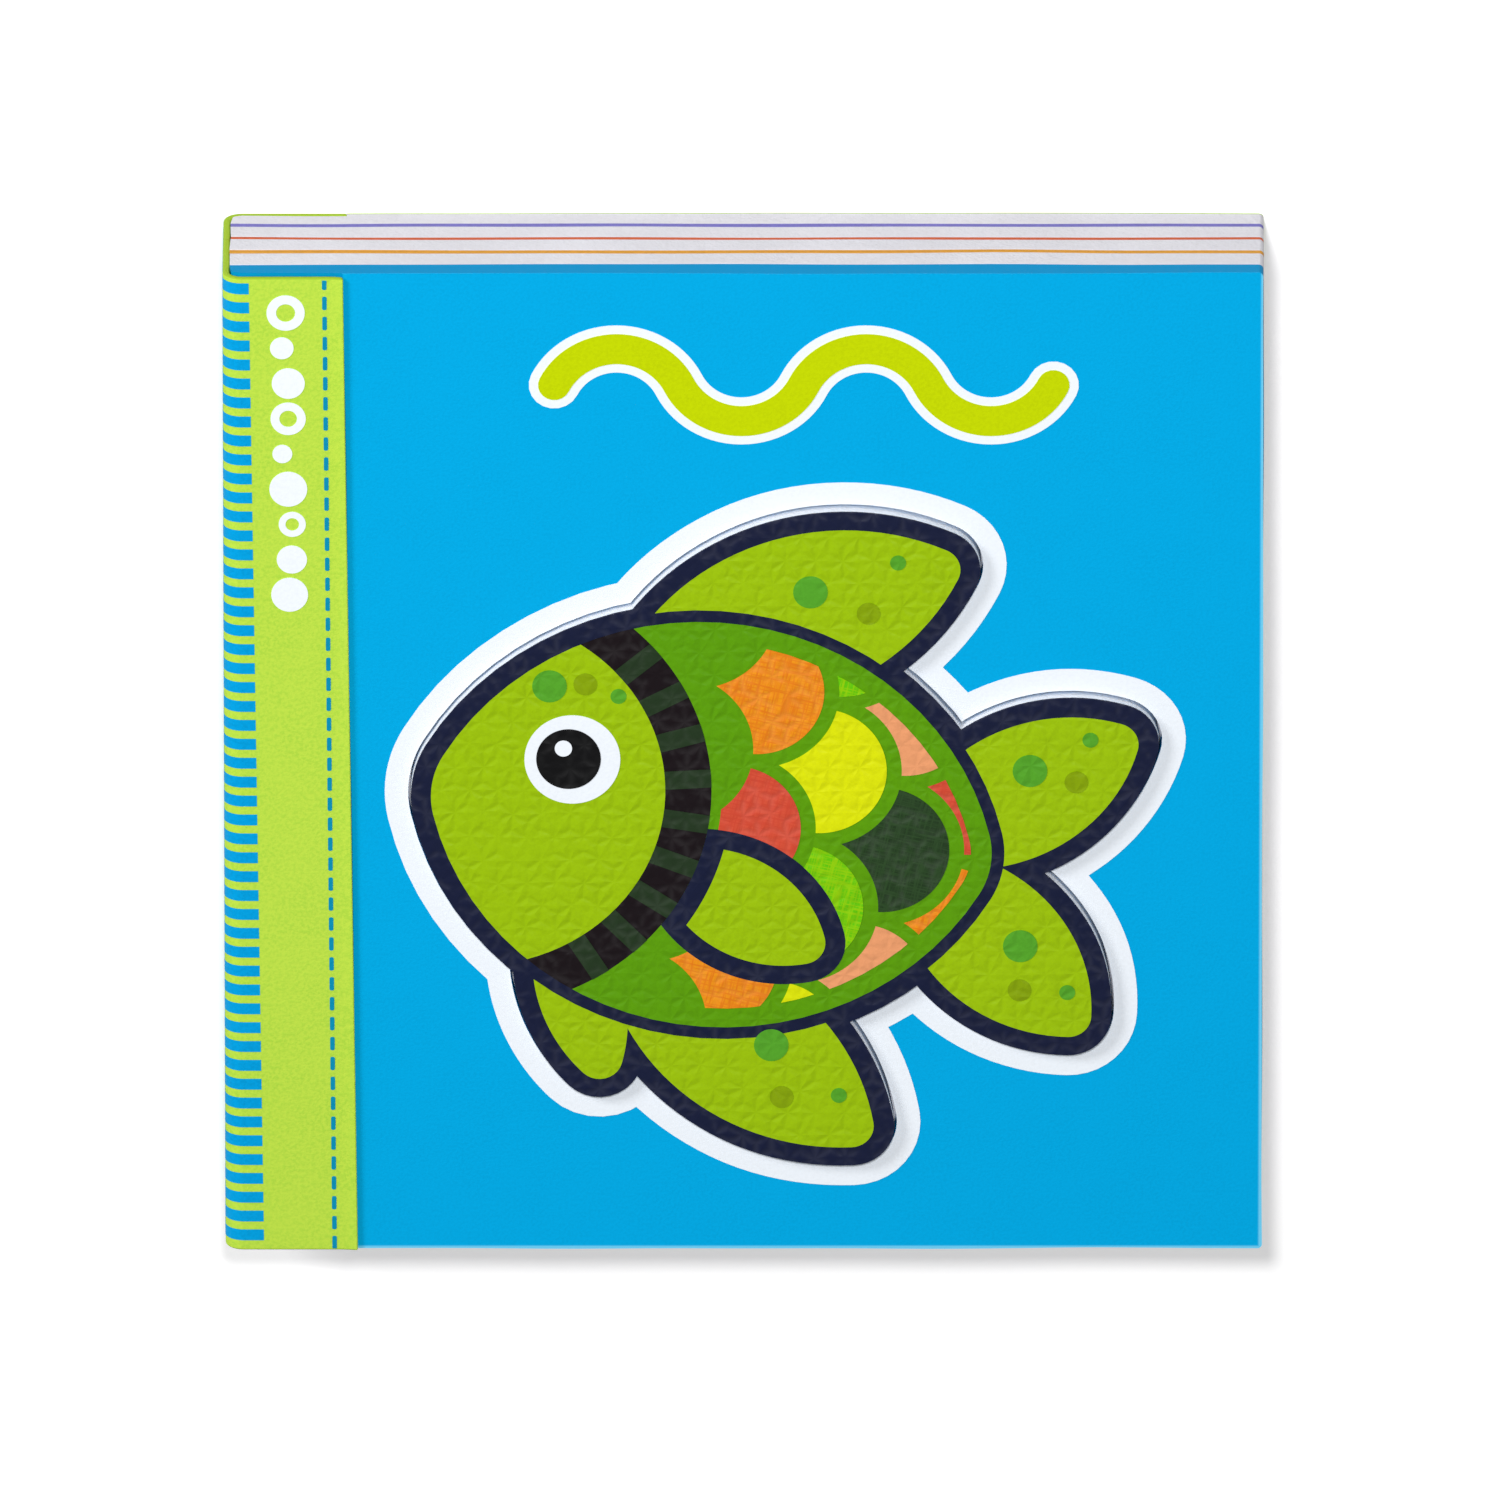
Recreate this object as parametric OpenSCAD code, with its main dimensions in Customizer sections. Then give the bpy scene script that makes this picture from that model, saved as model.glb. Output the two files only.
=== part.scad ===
// Chunky foam book whose front cover holds a die-cut, pop-out fish.
// The book lies on its back cover: +Z is the cover's normal and +Y points to its top edge.
// The spine is on the -X side, and the origin is the middle of the face that it rests on.

/* [Book] */
// Width from the spine to the fore-edge
book_w = 180; // [170:1:240]
// Height of the covers and pages
book_h = 183.4; // [178:1:240]
// Radius of the corners at the fore-edge
corner_r = 0.8; // [0.3:0.1:6]

/* [Boards and leaves] */
// Foam thickness of the back board
back_board_t = 4.4; // [4:0.1:8]
// Foam thickness of each inner leaf
leaf_t = 5; // [4.5:0.1:9]
// Number of inner leaves
leaf_count = 2; // [2:1:5]
// Foam thickness of the white board under the cover layer
front_board_t = 5.4; // [3:0.1:6]
// Foam thickness of the blue cover layer
cover_layer_t = 4.2; // [3:0.1:5]
// Thickness of each printed face sheet
sheet_t = 0.4; // [0.2:0.05:0.6]
// Width of the glue line that joins the leaves along the spine
glue_w = 6; // [3:0.5:12]
// Distance from the glue line's ends to the leaves' ends
glue_end = 3; // [1:0.5:10]
// Running gap between each cover and the pages
cover_gap = 0.3; // [0.2:0.05:0.6]

/* [Spine strip] */
// Thickness of the soft strip that wraps the spine
strip_t = 1.2; // [0.8:0.1:1.6]
// Inner radius of the strip round each long edge of the spine
strip_r = 0.5; // [0.3:0.1:3]
// How far the strip stands proud of the front cover
strip_proud = 0.8; // [0.3:0.1:0.8]
// Width of its front flap at the book's top edge
front_flap_w = 20.9; // [18:0.1:24]
// How much wider the front flap is at the bottom edge, because it was glued askew
flap_skew = 2.2; // [0:0.1:3]
// Width of its back flap
back_flap_w = 21.5; // [12:0.5:40]

/* [Print on the strip] */
// Thickness of every printed field
print_t = 0.1; // [0.05:0.01:0.2]
// Height of each blue bar along the spine
bar_h = 2.03; // [1:0.01:3]
// Distance from one bar to the next
bar_pitch = 3.56; // [3.2:0.01:6]
// How far the bars reach over the front cover at the top edge
bar_reach = 4.6; // [4.2:0.1:6]
// Width of the dashes
dash_w = 0.8; // [0.4:0.1:1.5]
// Length of each dash
dash_len = 2.5; // [1:0.1:3.5]
// Distance from one dash to the next
dash_pitch = 3.76; // [3.6:0.01:8]
// Distance from the flap's edge to the middle of the dashes
dash_inset = 3.7; // [2:0.1:5]
// Radius of the largest bubble
bubble_r = 3.3; // [1.5:0.1:3.6]
// Distance from one bubble to the next
bubble_pitch = 6.6; // [6.2:0.1:10]
// Number of bubbles
bubble_count = 9; // [1:1:14]
// Distance from the top edge to the first bubble
bubble_from_top = 7; // [5:0.5:40]

/* [Wave ornament] */
// Width of the wave ribbon
wave_w = 5.6; // [3:0.1:8]
// Radius of each bend, at the middle of the ribbon
wave_r = 12; // [9:0.5:14]
// Angle that each bend turns to either side of its crest
wave_turn = 64; // [30:1:80]
// Number of bends
wave_bends = 4; // [1:1:5]
// Width of the white border round the ribbon
wave_border_w = 1.6; // [0.5:0.1:3]
// Place of the wave across the cover, from the middle
wave_x = 10.5; // [5:0.5:14]
// Distance from the top edge to the middle of the wave
wave_from_top = 20.8; // [18:0.1:24]

/* [Pop-out fish] */
// Place of the fish across the cover, from the middle
fish_x = -5.5; // [-7:0.5:-4]
// Distance from the top edge to the middle of the fish
fish_from_top = 102.5; // [101:0.5:104]
// Angle by which the fish swims upwards
fish_tilt = -9; // [-20:1:10]
// How far the pop-out piece stands proud of the cover
popout_proud = 2.2; // [0.5:0.1:3]
// Width of the die cut round the piece
kerf = 0.35; // [0.2:0.05:1]
// Width of the white margin printed round the piece
margin_w = 4.4; // [2:0.1:6]
// Width of the piece's navy outline
outline_w = 3.5; // [1.5:0.1:4]
// Length of the fish's body
body_len = 98; // [90:1:104]
// Height of the fish's body
body_h = 76; // [66:1:80]
// Radius of the snout
snout_r = 15; // [10:1:20]
// Radius of the fin's tips
fin_tip_r = 4; // [2:0.5:6]
// Length of the back fin
back_fin_len = 62; // [50:1:66]
// Width of the back fin
back_fin_w = 30; // [22:1:34]
// Length of the belly fin
belly_fin_len = 58; // [46:1:62]
// Width of the belly fin
belly_fin_w = 27; // [20:1:32]
// Length of each tail lobe
tail_len = 46; // [36:1:48]
// Width of each tail lobe
tail_w = 24; // [18:1:28]
// Angle of each tail lobe from the fish's middle line
tail_spread = 38; // [30:1:48]
// Length of the throat fin
throat_fin_len = 34; // [28:1:38]
// Width of the throat fin
throat_fin_w = 15; // [12:1:18]

/* [Print on the fish] */
// Width of the navy line between the fins and the body
fin_line_w = 2.2; // [1:0.1:4]
// Radius of the head's rear edge, as a share of the body's length
head_share = 0.337; // [0.28:0.001:0.36]
// Width of the gill band behind the head
band_w = 8; // [4:0.5:10]
// Number of stripes across the gill band
stripe_count = 9; // [3:1:12]
// Width of each stripe
stripe_w = 3.4; // [1.5:0.1:5]
// How many radii of a scale fit between the gill band and the tail
scale_count_along = 3.8; // [3.4:0.1:5]
// How many radii of a scale fit across the body
scale_count_across = 5.85; // [5.2:0.05:7]
// Width of the green lines between the scales
scale_gap = 2.6; // [1:0.1:4]
// Width of the green rim round the scales
scale_rim = 3.6; // [2:0.1:6]
// Length of the side fin, as a share of the body's length
side_fin_share = 0.337; // [0.22:0.001:0.36]
// Width of the side fin
side_fin_w = 18; // [12:1:20]
// Radius of the eye's white
eye_r = 8.3; // [6:0.1:9]
// Radius of the pupil
pupil_r = 5.6; // [3:0.1:5.8]
// Radius of the light in the pupil
glint_r = 1.5; // [0.5:0.1:2]
// Radius of the largest spot
spot_r = 3; // [1:0.1:3.4]

/* [Hidden] */
$fn = 96;

// Colours of the foams and prints
foam_white = "#EEEEF4";
cover_blue = "#00ADEF";
strip_lime = "#BFE247";
wave_lime = "#C8DC00";
fin_lime = "#A2CB00";
print_white = "#F5FAFF";
sheet_lime = "#A8C83C";
sheet_indigo = "#6E69BE";
sheet_red = "#E16945";
sheet_orange = "#F0AA50";
navy = "#182040";
band_brown = "#1A1014";
stripe_green = "#243E1E";
bed_green = "#5C9E00";
coral = "#D74E34";
peach = "#F0A06E";
yellow = "#E1E800";
orange = "#F0A014";
dark_green = "#24401E";
bright_green = "#50BE00";
spot_green = "#55A528";
spot_olive = "#87A500";
pupil_black = "#0A0A0C";

// Places across the book: the bars' face, the strip's outer face and its inner face
spine_x = -book_w / 2;
strip_x = spine_x + print_t;
board_x = strip_x + strip_t;
edge_x = book_w / 2;
top_y = book_h / 2;

// Heights of the layers, from the face that the book rests on
back_board_z = sheet_t;
back_lining_z = back_board_z + back_board_t;
back_top_z = back_lining_z + sheet_t;
pages_z = back_top_z + cover_gap;
leaves_z = pages_z + sheet_t;
leaf_pitch = leaf_t + 2 * sheet_t;
leaves_top_z = leaves_z + leaf_count * leaf_pitch - 2 * sheet_t;
pages_top_z = leaves_top_z + sheet_t;
front_z = pages_top_z + cover_gap;
front_board_z = front_z + sheet_t;
cover_layer_z = front_board_z + front_board_t;
cover_top_z = cover_layer_z + cover_layer_t;
strip_top_z = cover_top_z + strip_proud;
popout_top_z = cover_top_z + popout_proud;

// Steps of the arcs that bound the fish and the wave: round its tips and along its sides
tip_steps = 10;
side_steps = 28;

// Reaches that go past every piece, for cutting
past = 20;
beyond = 2 * (book_w + book_h);

// The bars end at the same slant as the flap, which was glued askew
function skew_at(y) = flap_skew * (top_y - y) / book_h;
bar_count = floor((book_h - bar_h) / bar_pitch) + 1;
dash_count = floor((book_h - dash_len) / dash_pitch) + 1;

// Spots along each fin: how many, how each next one shrinks, where the first one lies as a
// share of the fin's length, the step to the next, and how far they lie to either side
spot_count = 3;
spot_shrink = 0.68;
spot_start = 0.58;
spot_step = 0.13;
spot_side = 0.12;

// Spots on the forehead: the first one's angle round the eye, and the turn to the next
forehead_angle = 115;
forehead_turn = 25;

// Bubbles: the smallest as a share of the largest, the turn that varies them from one to the
// next, how far they sway to either side, and the hole of a ring as a share of its bubble
bubble_least = 0.42;
bubble_turn = 70;
bubble_sway = 0.6;
bubble_hole = 0.5;

// The cover's picture needs this height, as a multiple of the fish's distance from the top
// edge. On a lower cover the whole picture is drawn smaller.
picture_need = 1.78;
picture_scale = min(1, book_h / (picture_need * fish_from_top));

// Places on the fish, measured in its own frame, with its snout on the -X side
snout_x = -body_len / 2;
head_x = snout_x + snout_r / 2;
head_r = head_share * body_len;
tail_root = [body_len / 2 - tail_len / 3, 0];
back_fin_root = [-body_len / 5, body_h / 3];
belly_fin_root = [-body_len / 7, -body_h / 3];
throat_fin_root = [-body_len / 4, -body_h / 4];
back_fin_angle = 29;
belly_fin_angle = -30;
throat_fin_angle = -66;
side_fin_root = [head_x + head_r + 1, -body_h / 10];
side_fin_angle = -24;
side_fin_len = side_fin_share * body_len;
eye_at = [snout_x + snout_r + eye_r, body_h / 9];
scales_start = head_x + head_r + band_w;
scale_step_x = (body_len / 2 - scales_start) / scale_count_along;
scale_step_y = body_h / scale_count_across;
scale_r = min(scale_step_x, scale_step_y);
scales_x = scales_start + scale_r / 3;
scale_columns = 5;
scale_rows = 3;
scale_colours = 6;
stripe_angle = 110 / stripe_count;

// Places of the three printed levels on the fish's film
level_1 = popout_top_z;
level_2 = level_1 + print_t;
level_3 = level_2 + print_t;
level_4 = level_3 + print_t;

// Layer of foam or sheet: full height, from the spine strip to the fore-edge
module board_outline() {
    difference() {
        translate([board_x, -top_y]) square([edge_x - board_x, book_h]);
        for (side = [-1, 1])
            translate([edge_x - corner_r, side * (top_y - corner_r)])
                difference() {
                    translate([0, side > 0 ? 0 : -past]) square(past);
                    circle(corner_r);
                }
    }
}

module layer(z, thickness) {
    translate([0, 0, z]) linear_extrude(thickness) board_outline();
}

// Moves a section that is drawn in X and Z to its stretch along Y
module along_y(y0, y1) {
    translate([0, y1, 0]) rotate([90, 0, 0]) linear_extrude(y1 - y0) children();
}

// Section of the spine's outer surface, moved inwards by an inset, and open to the right
module spine_section(inset) {
    r = strip_r + strip_t - inset;
    x0 = strip_x + inset;
    z0 = print_t + inset;
    z1 = strip_top_z - inset;
    difference() {
        translate([x0, z0]) square([beyond, z1 - z0]);
        for (corner = [[z0 + r, -1], [z1 - r, 1]])
            translate([x0 + r, corner[0]])
                difference() {
                    translate([-past, corner[1] > 0 ? 0 : -past]) square(past);
                    circle(r);
                }
    }
}

// The upper and lower footprints of the strip: the front one has its slanting edge
module front_footprint() {
    polygon([
        [spine_x - past, top_y + past],
        [spine_x + front_flap_w + skew_at(top_y + past), top_y + past],
        [spine_x + front_flap_w + skew_at(-top_y - past), -top_y - past],
        [spine_x - past, -top_y - past]
    ]);
}

module footprints() {
    translate([0, 0, pages_z]) linear_extrude(beyond) front_footprint();
    translate([spine_x - past, -top_y - past, -past])
        cube([past + back_flap_w, book_h + 2 * past, pages_z + past]);
}

// All the space that the strip takes up, and what lies outside it
module strip_room() {
    intersection() {
        along_y(-top_y - past, top_y + past)
            difference() {
                translate([spine_x - past, -past]) square(beyond);
                spine_section(strip_t);
            }
        footprints();
    }
}

// The strip itself, between two heights
module strip(z0, z1) {
    intersection() {
        along_y(-top_y, top_y)
            intersection() {
                difference() {
                    spine_section(0);
                    spine_section(strip_t);
                }
                translate([spine_x - past, z0]) square([beyond, z1 - z0]);
            }
        footprints();
    }
}

// The blue bars between two heights, each up to its reach over the cover
module bars(z0, z1, reach, skewed) {
    first = -(bar_count - 1) / 2 * bar_pitch;
    for (i = [0 : bar_count - 1]) {
        y = first + i * bar_pitch;
        end_x = spine_x + reach + (skewed ? skew_at(y) : 0);
        along_y(y - bar_h / 2, y + bar_h / 2)
            intersection() {
                difference() {
                    spine_section(-print_t);
                    spine_section(0);
                }
                translate([spine_x - past, z0]) square([end_x - spine_x + past, z1 - z0]);
            }
    }
}

// Points of an arc round a middle, without the last one, where the next stretch begins
function arc(middle, r, from, to, steps) = [
    for (i = [0 : steps - 1])
        let (a = from + (to - from) * i / steps)
            middle + r * [cos(a), sin(a)]
];

// Radius of a leaf's long arcs, from its length, its width and the radius of its tips
function leaf_arc(len, wid, tip) =
    (pow(len / 2 - tip, 2) + pow(wid / 2, 2) - tip * tip) / (wid - 2 * tip);

// Leaf along X: two long arcs and two round tips. Growing it moves its whole edge outwards.
module leaf(len, wid, tip, grow) {
    r = leaf_arc(len, wid, tip);
    drop = r - wid / 2;
    tip_x = len / 2 - tip;
    // The arcs meet the tips in this direction
    turn = atan2(drop, tip_x);
    polygon(concat(
        arc([tip_x, 0], tip + grow, -turn, turn, tip_steps),
        arc([0, -drop], r + grow, turn, 180 - turn, side_steps),
        arc([-tip_x, 0], tip + grow, 180 - turn, 180 + turn, tip_steps),
        arc([0, drop], r + grow, 180 + turn, 360 - turn, side_steps)
    ));
}

// Fin that leaves its root at an angle
module fin(root, angle, len, wid, grow) {
    translate(root) rotate(angle) translate([len / 2, 0]) leaf(len, wid, fin_tip_r, grow);
}

module body(grow) {
    leaf(body_len, body_h, snout_r, grow);
}

module fins(grow) {
    fin(back_fin_root, back_fin_angle, back_fin_len, back_fin_w, grow);
    fin(belly_fin_root, belly_fin_angle, belly_fin_len, belly_fin_w, grow);
    fin(throat_fin_root, throat_fin_angle, throat_fin_len, throat_fin_w, grow);
    for (side = [-1, 1])
        fin(tail_root, side * tail_spread, tail_len, tail_w, grow);
}

module fish(grow) {
    body(grow);
    fins(grow);
}

module side_fin_shape(grow) {
    fin(side_fin_root, side_fin_angle, side_fin_len, side_fin_w, grow);
}

// The part of the body behind a round line that is this far from the head's middle
module behind_head(distance, grow) {
    difference() {
        body(grow);
        translate([head_x, 0]) circle(distance);
    }
}

// Puts a flat shape on the cover, at a place across it and at a distance from its top edge
module on_cover(z, thickness, x, from_top) {
    translate([x * picture_scale, top_y - from_top * picture_scale, z])
        linear_extrude(thickness) scale(picture_scale) children();
}

// Puts a flat shape that is drawn in the fish's frame on the cover, between two heights
module on_fish(z, thickness) {
    on_cover(z, thickness, fish_x, fish_from_top) rotate(fish_tilt) children();
}

// Middle of a scale: every second column is moved up by half a scale
function scale_at(i, j) = [scales_x + i * scale_step_x, (2 * j + i % 2) * scale_step_y];

// Visible part of a scale, which the scales nearer to the head overlap
module scale_fan(i, j) {
    difference() {
        translate(scale_at(i, j)) circle(scale_r - scale_gap / 2);
        for (side = [-1, 1])
            translate(scale_at(i, j) + [-scale_step_x, side * scale_step_y])
                circle(scale_r + scale_gap / 2);
    }
}

// All scales of one colour, inside the rim and clear of the side fin
module scales(colour) {
    on_fish(level_2, print_t)
        intersection() {
            difference() {
                behind_head(head_r + band_w + scale_rim / 2, -scale_rim);
                side_fin_shape(outline_w);
            }
            for (i = [0 : scale_columns - 1], j = [-scale_rows : scale_rows])
                if ((2 * i + 3 * j + 5 * scale_colours) % scale_colours == colour)
                    scale_fan(i, j);
        }
}

// Spots along a fin, each smaller than the one before, from its root to its tip
module fin_spots(root, angle, len, wid, wanted) {
    for (n = [0 : spot_count - 1])
        if (n % 2 == wanted)
            translate(root) rotate(angle)
                translate([len * (spot_start + spot_step * n), pow(-1, n) * spot_side * wid])
                    circle(spot_r * pow(spot_shrink, n));
}

module spots(wanted) {
    on_fish(level_2, print_t) {
        fin_spots(back_fin_root, back_fin_angle, back_fin_len, back_fin_w, wanted);
        fin_spots(belly_fin_root, belly_fin_angle, belly_fin_len, belly_fin_w, wanted);
        for (side = [-1, 1])
            fin_spots(tail_root, side * tail_spread, tail_len, tail_w, wanted);
        // Spots on the forehead
        intersection() {
            body(0);
            for (n = [0 : spot_count - 1])
                if (n % 2 == wanted)
                    translate(eye_at) rotate(forehead_angle - forehead_turn * n)
                        translate([eye_r + 2 * spot_r, 0])
                            circle(spot_r * pow(spot_shrink, n));
        }
    }
}

// Middles of the wave's bends: every second one turns down
wave_step = 2 * wave_r * sin(wave_turn);
wave_end = wave_bends / 2 * wave_step;
function bend_at(i) = [(i + 0.5) * wave_step - wave_end,
                       (i % 2 == 0 ? -1 : 1) * wave_r * cos(wave_turn)];

// One side of the ribbon over a bend: the upper side from left to right, or the lower one back
function bend_side(i, half, upper) =
    let (
        crest = i % 2 == 0,
        r = wave_r + (crest == upper ? half : -half),
        middle_angle = crest ? 90 : 270,
        turn = crest == upper ? wave_turn : -wave_turn
    )
        arc(bend_at(i), r, middle_angle + turn, middle_angle - turn, side_steps);

// Wave ribbon of alternating bends with round ends
module wave(grow) {
    half = wave_w / 2 + grow;
    last_turn = (wave_bends % 2 == 1 ? -1 : 1) * wave_turn;
    polygon(concat(
        [for (i = [0 : wave_bends - 1]) each bend_side(i, half, true)],
        arc([wave_end, 0], half, 90 + last_turn, last_turn - 90, tip_steps),
        [for (i = [wave_bends - 1 : -1 : 0]) each bend_side(i, half, false)],
        arc([-wave_end, 0], half, 270 + wave_turn, 90 + wave_turn, tip_steps)
    ));
}

module back_sheet() {
    color(sheet_lime) difference() {
        layer(0, sheet_t);
        strip_room();
    }
}

module back_board() {
    color(foam_white) difference() {
        layer(back_board_z, back_board_t);
        strip_room();
    }
}

module back_lining() {
    color(sheet_indigo) layer(back_lining_z, sheet_t);
}

module spine_wrap_back() {
    color(strip_lime) strip(0, back_top_z);
}

module spine_bars_back() {
    color(cover_blue) bars(0, back_top_z, bar_reach + flap_skew / 2, false);
}

module page_sheet_back() {
    color(sheet_indigo) layer(pages_z, sheet_t);
}

// The glue line between the leaves, a little short of their ends, from this distance outside
// the leaves' spine side
module glue_line(z, thickness, outside) {
    translate([board_x - outside, glue_end - top_y, z])
        cube([glue_w + outside, book_h - 2 * glue_end, thickness]);
}

module page_block() {
    color(foam_white) union() {
        for (i = [0 : leaf_count - 1])
            layer(leaves_z + i * leaf_pitch, leaf_t);
        for (i = [1 : leaf_count - 1])
            glue_line(leaves_z + i * leaf_pitch - 2 * sheet_t, 2 * sheet_t, 0);
    }
}

module page_sheet_middle() {
    color(sheet_red)
        for (i = [1 : leaf_count - 1])
            difference() {
                layer(leaves_z + i * leaf_pitch - 2 * sheet_t, 2 * sheet_t);
                glue_line(leaves_z + i * leaf_pitch - past / 2, past, past);
            }
}

module page_sheet_front() {
    color(sheet_orange) layer(leaves_top_z, sheet_t);
}

module spine_wrap_middle() {
    color(strip_lime) strip(pages_z, pages_top_z);
}

module spine_bars_middle() {
    color(cover_blue) bars(pages_z, pages_top_z, bar_reach, false);
}

module front_lining() {
    color(sheet_orange) layer(front_z, sheet_t);
}

module front_board() {
    color(foam_white) layer(front_board_z, front_board_t);
}

module cover_layer() {
    color(cover_blue) difference() {
        layer(cover_layer_z, cover_layer_t);
        strip_room();
        on_fish(cover_layer_z - past, 2 * past) fish(outline_w + kerf);
    }
}

module popout_margin() {
    color(print_white) on_fish(cover_top_z, print_t) difference() {
        fish(outline_w + kerf + margin_w);
        fish(outline_w + kerf);
    }
}

module spine_wrap_front() {
    color(strip_lime) strip(front_z, strip_top_z);
}

module spine_bars_front() {
    color(cover_blue) bars(front_z, beyond, bar_reach, true);
}

module stitch_dashes() {
    first = -(dash_count - 1) / 2 * dash_pitch;
    color(cover_blue)
        for (i = [0 : dash_count - 1]) {
            y = first + i * dash_pitch;
            translate([spine_x + front_flap_w + skew_at(y) - dash_inset, y, strip_top_z])
                translate([-dash_w / 2, -dash_len / 2, 0]) cube([dash_w, dash_len, print_t]);
        }
}

// Bubbles that rise along the strip: some are full and some are rings
module strip_bubbles() {
    color(print_white)
        for (n = [0 : bubble_count - 1]) {
            y = top_y - bubble_from_top - n * bubble_pitch;
            r = bubble_r * (bubble_least + (1 - bubble_least) * abs(cos(bubble_turn * n)));
            x = spine_x + (bar_reach + front_flap_w - dash_inset) / 2 + skew_at(y)
                + (bubble_r - r) * (n % 4 < 2 ? -bubble_sway : bubble_sway);
            translate([x, y, strip_top_z]) linear_extrude(print_t) difference() {
                circle(r);
                if (n % 3 == 0) circle(r * bubble_hole);
            }
        }
}

module wave_border() {
    color(print_white) on_cover(cover_top_z, print_t, wave_x, wave_from_top) wave(wave_border_w);
}

module wave_band() {
    color(wave_lime) on_cover(cover_top_z + print_t, print_t, wave_x, wave_from_top) wave(0);
}

module popout_core() {
    color(foam_white) on_fish(cover_layer_z, popout_top_z - sheet_t - cover_layer_z)
        fish(outline_w);
}

module popout_sheet() {
    color(navy) on_fish(popout_top_z - sheet_t, sheet_t) fish(outline_w);
}

module fin_fields() {
    color(fin_lime) on_fish(level_1, print_t) {
        difference() {
            fins(0);
            body(fin_line_w);
        }
        intersection() {
            body(0);
            translate([head_x, 0]) circle(head_r);
        }
    }
}

module gill_band() {
    color(band_brown) on_fish(level_1, print_t) intersection() {
        behind_head(head_r, 0);
        translate([head_x, 0]) circle(head_r + band_w);
    }
}

module gill_stripes() {
    color(stripe_green) on_fish(level_2, print_t) intersection() {
        behind_head(head_r, 0);
        translate([head_x, 0]) circle(head_r + band_w);
        for (i = [0 : stripe_count - 1])
            translate([head_x, 0]) rotate((i - (stripe_count - 1) / 2) * stripe_angle)
                translate([0, -stripe_w / 2]) square([head_r + 2 * band_w, stripe_w]);
    }
}

module scale_bed() {
    color(bed_green) on_fish(level_1, print_t) behind_head(head_r + band_w, 0);
}

module scales_coral() {
    color(coral) scales(0);
}

module scales_peach() {
    color(peach) scales(1);
}

module scales_yellow() {
    color(yellow) scales(2);
}

module scales_orange() {
    color(orange) scales(3);
}

module scales_dark_green() {
    color(dark_green) scales(4);
}

module scales_bright_green() {
    color(bright_green) scales(5);
}

module side_fin_outline() {
    color(navy) on_fish(level_2, print_t) difference() {
        side_fin_shape(outline_w);
        translate([head_x, 0]) circle(head_r + band_w);
    }
}

module side_fin() {
    color(fin_lime) on_fish(level_3, print_t) difference() {
        side_fin_shape(0);
        translate([head_x, 0]) circle(head_r + band_w + outline_w);
    }
}

module spots_green() {
    color(spot_green) spots(0);
}

module spots_olive() {
    color(spot_olive) spots(1);
}

module eye_white() {
    color(print_white) on_fish(level_2, print_t) translate(eye_at) circle(eye_r);
}

module eye_pupil() {
    color(pupil_black) on_fish(level_3, print_t)
        translate(eye_at + [-(eye_r - pupil_r) / 4, 0]) circle(pupil_r);
}

module eye_glint() {
    color(print_white) on_fish(level_4, print_t)
        translate(eye_at + [-pupil_r / 3, pupil_r / 3]) circle(glint_r);
}

back_sheet();
back_board();
back_lining();
spine_wrap_back();
spine_bars_back();
page_sheet_back();
page_block();
page_sheet_middle();
page_sheet_front();
spine_wrap_middle();
spine_bars_middle();
front_lining();
front_board();
cover_layer();
popout_margin();
spine_wrap_front();
spine_bars_front();
stitch_dashes();
strip_bubbles();
wave_border();
wave_band();
popout_core();
popout_sheet();
fin_fields();
gill_band();
gill_stripes();
scale_bed();
scales_coral();
scales_peach();
scales_yellow();
scales_orange();
scales_dark_green();
scales_bright_green();
side_fin_outline();
side_fin();
spots_green();
spots_olive();
eye_white();
eye_pupil();
eye_glint();
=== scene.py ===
import math

import bmesh
import bpy
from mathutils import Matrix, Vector, noise


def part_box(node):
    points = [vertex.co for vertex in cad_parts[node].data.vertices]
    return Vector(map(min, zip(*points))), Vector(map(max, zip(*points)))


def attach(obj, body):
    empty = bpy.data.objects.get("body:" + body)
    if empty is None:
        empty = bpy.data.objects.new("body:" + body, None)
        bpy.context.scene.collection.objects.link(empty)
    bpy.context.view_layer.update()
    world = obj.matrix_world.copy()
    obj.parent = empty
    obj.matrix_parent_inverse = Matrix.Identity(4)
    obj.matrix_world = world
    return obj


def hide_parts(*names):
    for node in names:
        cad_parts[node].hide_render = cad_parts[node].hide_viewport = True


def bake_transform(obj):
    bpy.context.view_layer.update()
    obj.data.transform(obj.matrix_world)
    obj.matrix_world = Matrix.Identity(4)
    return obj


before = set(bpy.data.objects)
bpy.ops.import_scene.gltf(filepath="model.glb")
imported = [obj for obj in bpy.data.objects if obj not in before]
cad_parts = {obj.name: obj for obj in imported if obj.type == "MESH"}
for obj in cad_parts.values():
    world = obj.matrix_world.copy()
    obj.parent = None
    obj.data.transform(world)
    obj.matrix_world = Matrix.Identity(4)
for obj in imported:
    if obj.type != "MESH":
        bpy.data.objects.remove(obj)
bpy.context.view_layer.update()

bl_info = {
    "name": "Foam book with a pop-out fish",
    "version": (1, 0, 0),
    "blender": (4, 5, 0),
    "location": "3D View > Sidebar > Foam book",
    "description": "Foam layers, wrapped spine strip, printed film and stage of a soft book",
    "category": "Object",
}

MM = 0.001
BACK, PAGES, FRONT = "back_cover", "page_block", "front_cover"

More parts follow.
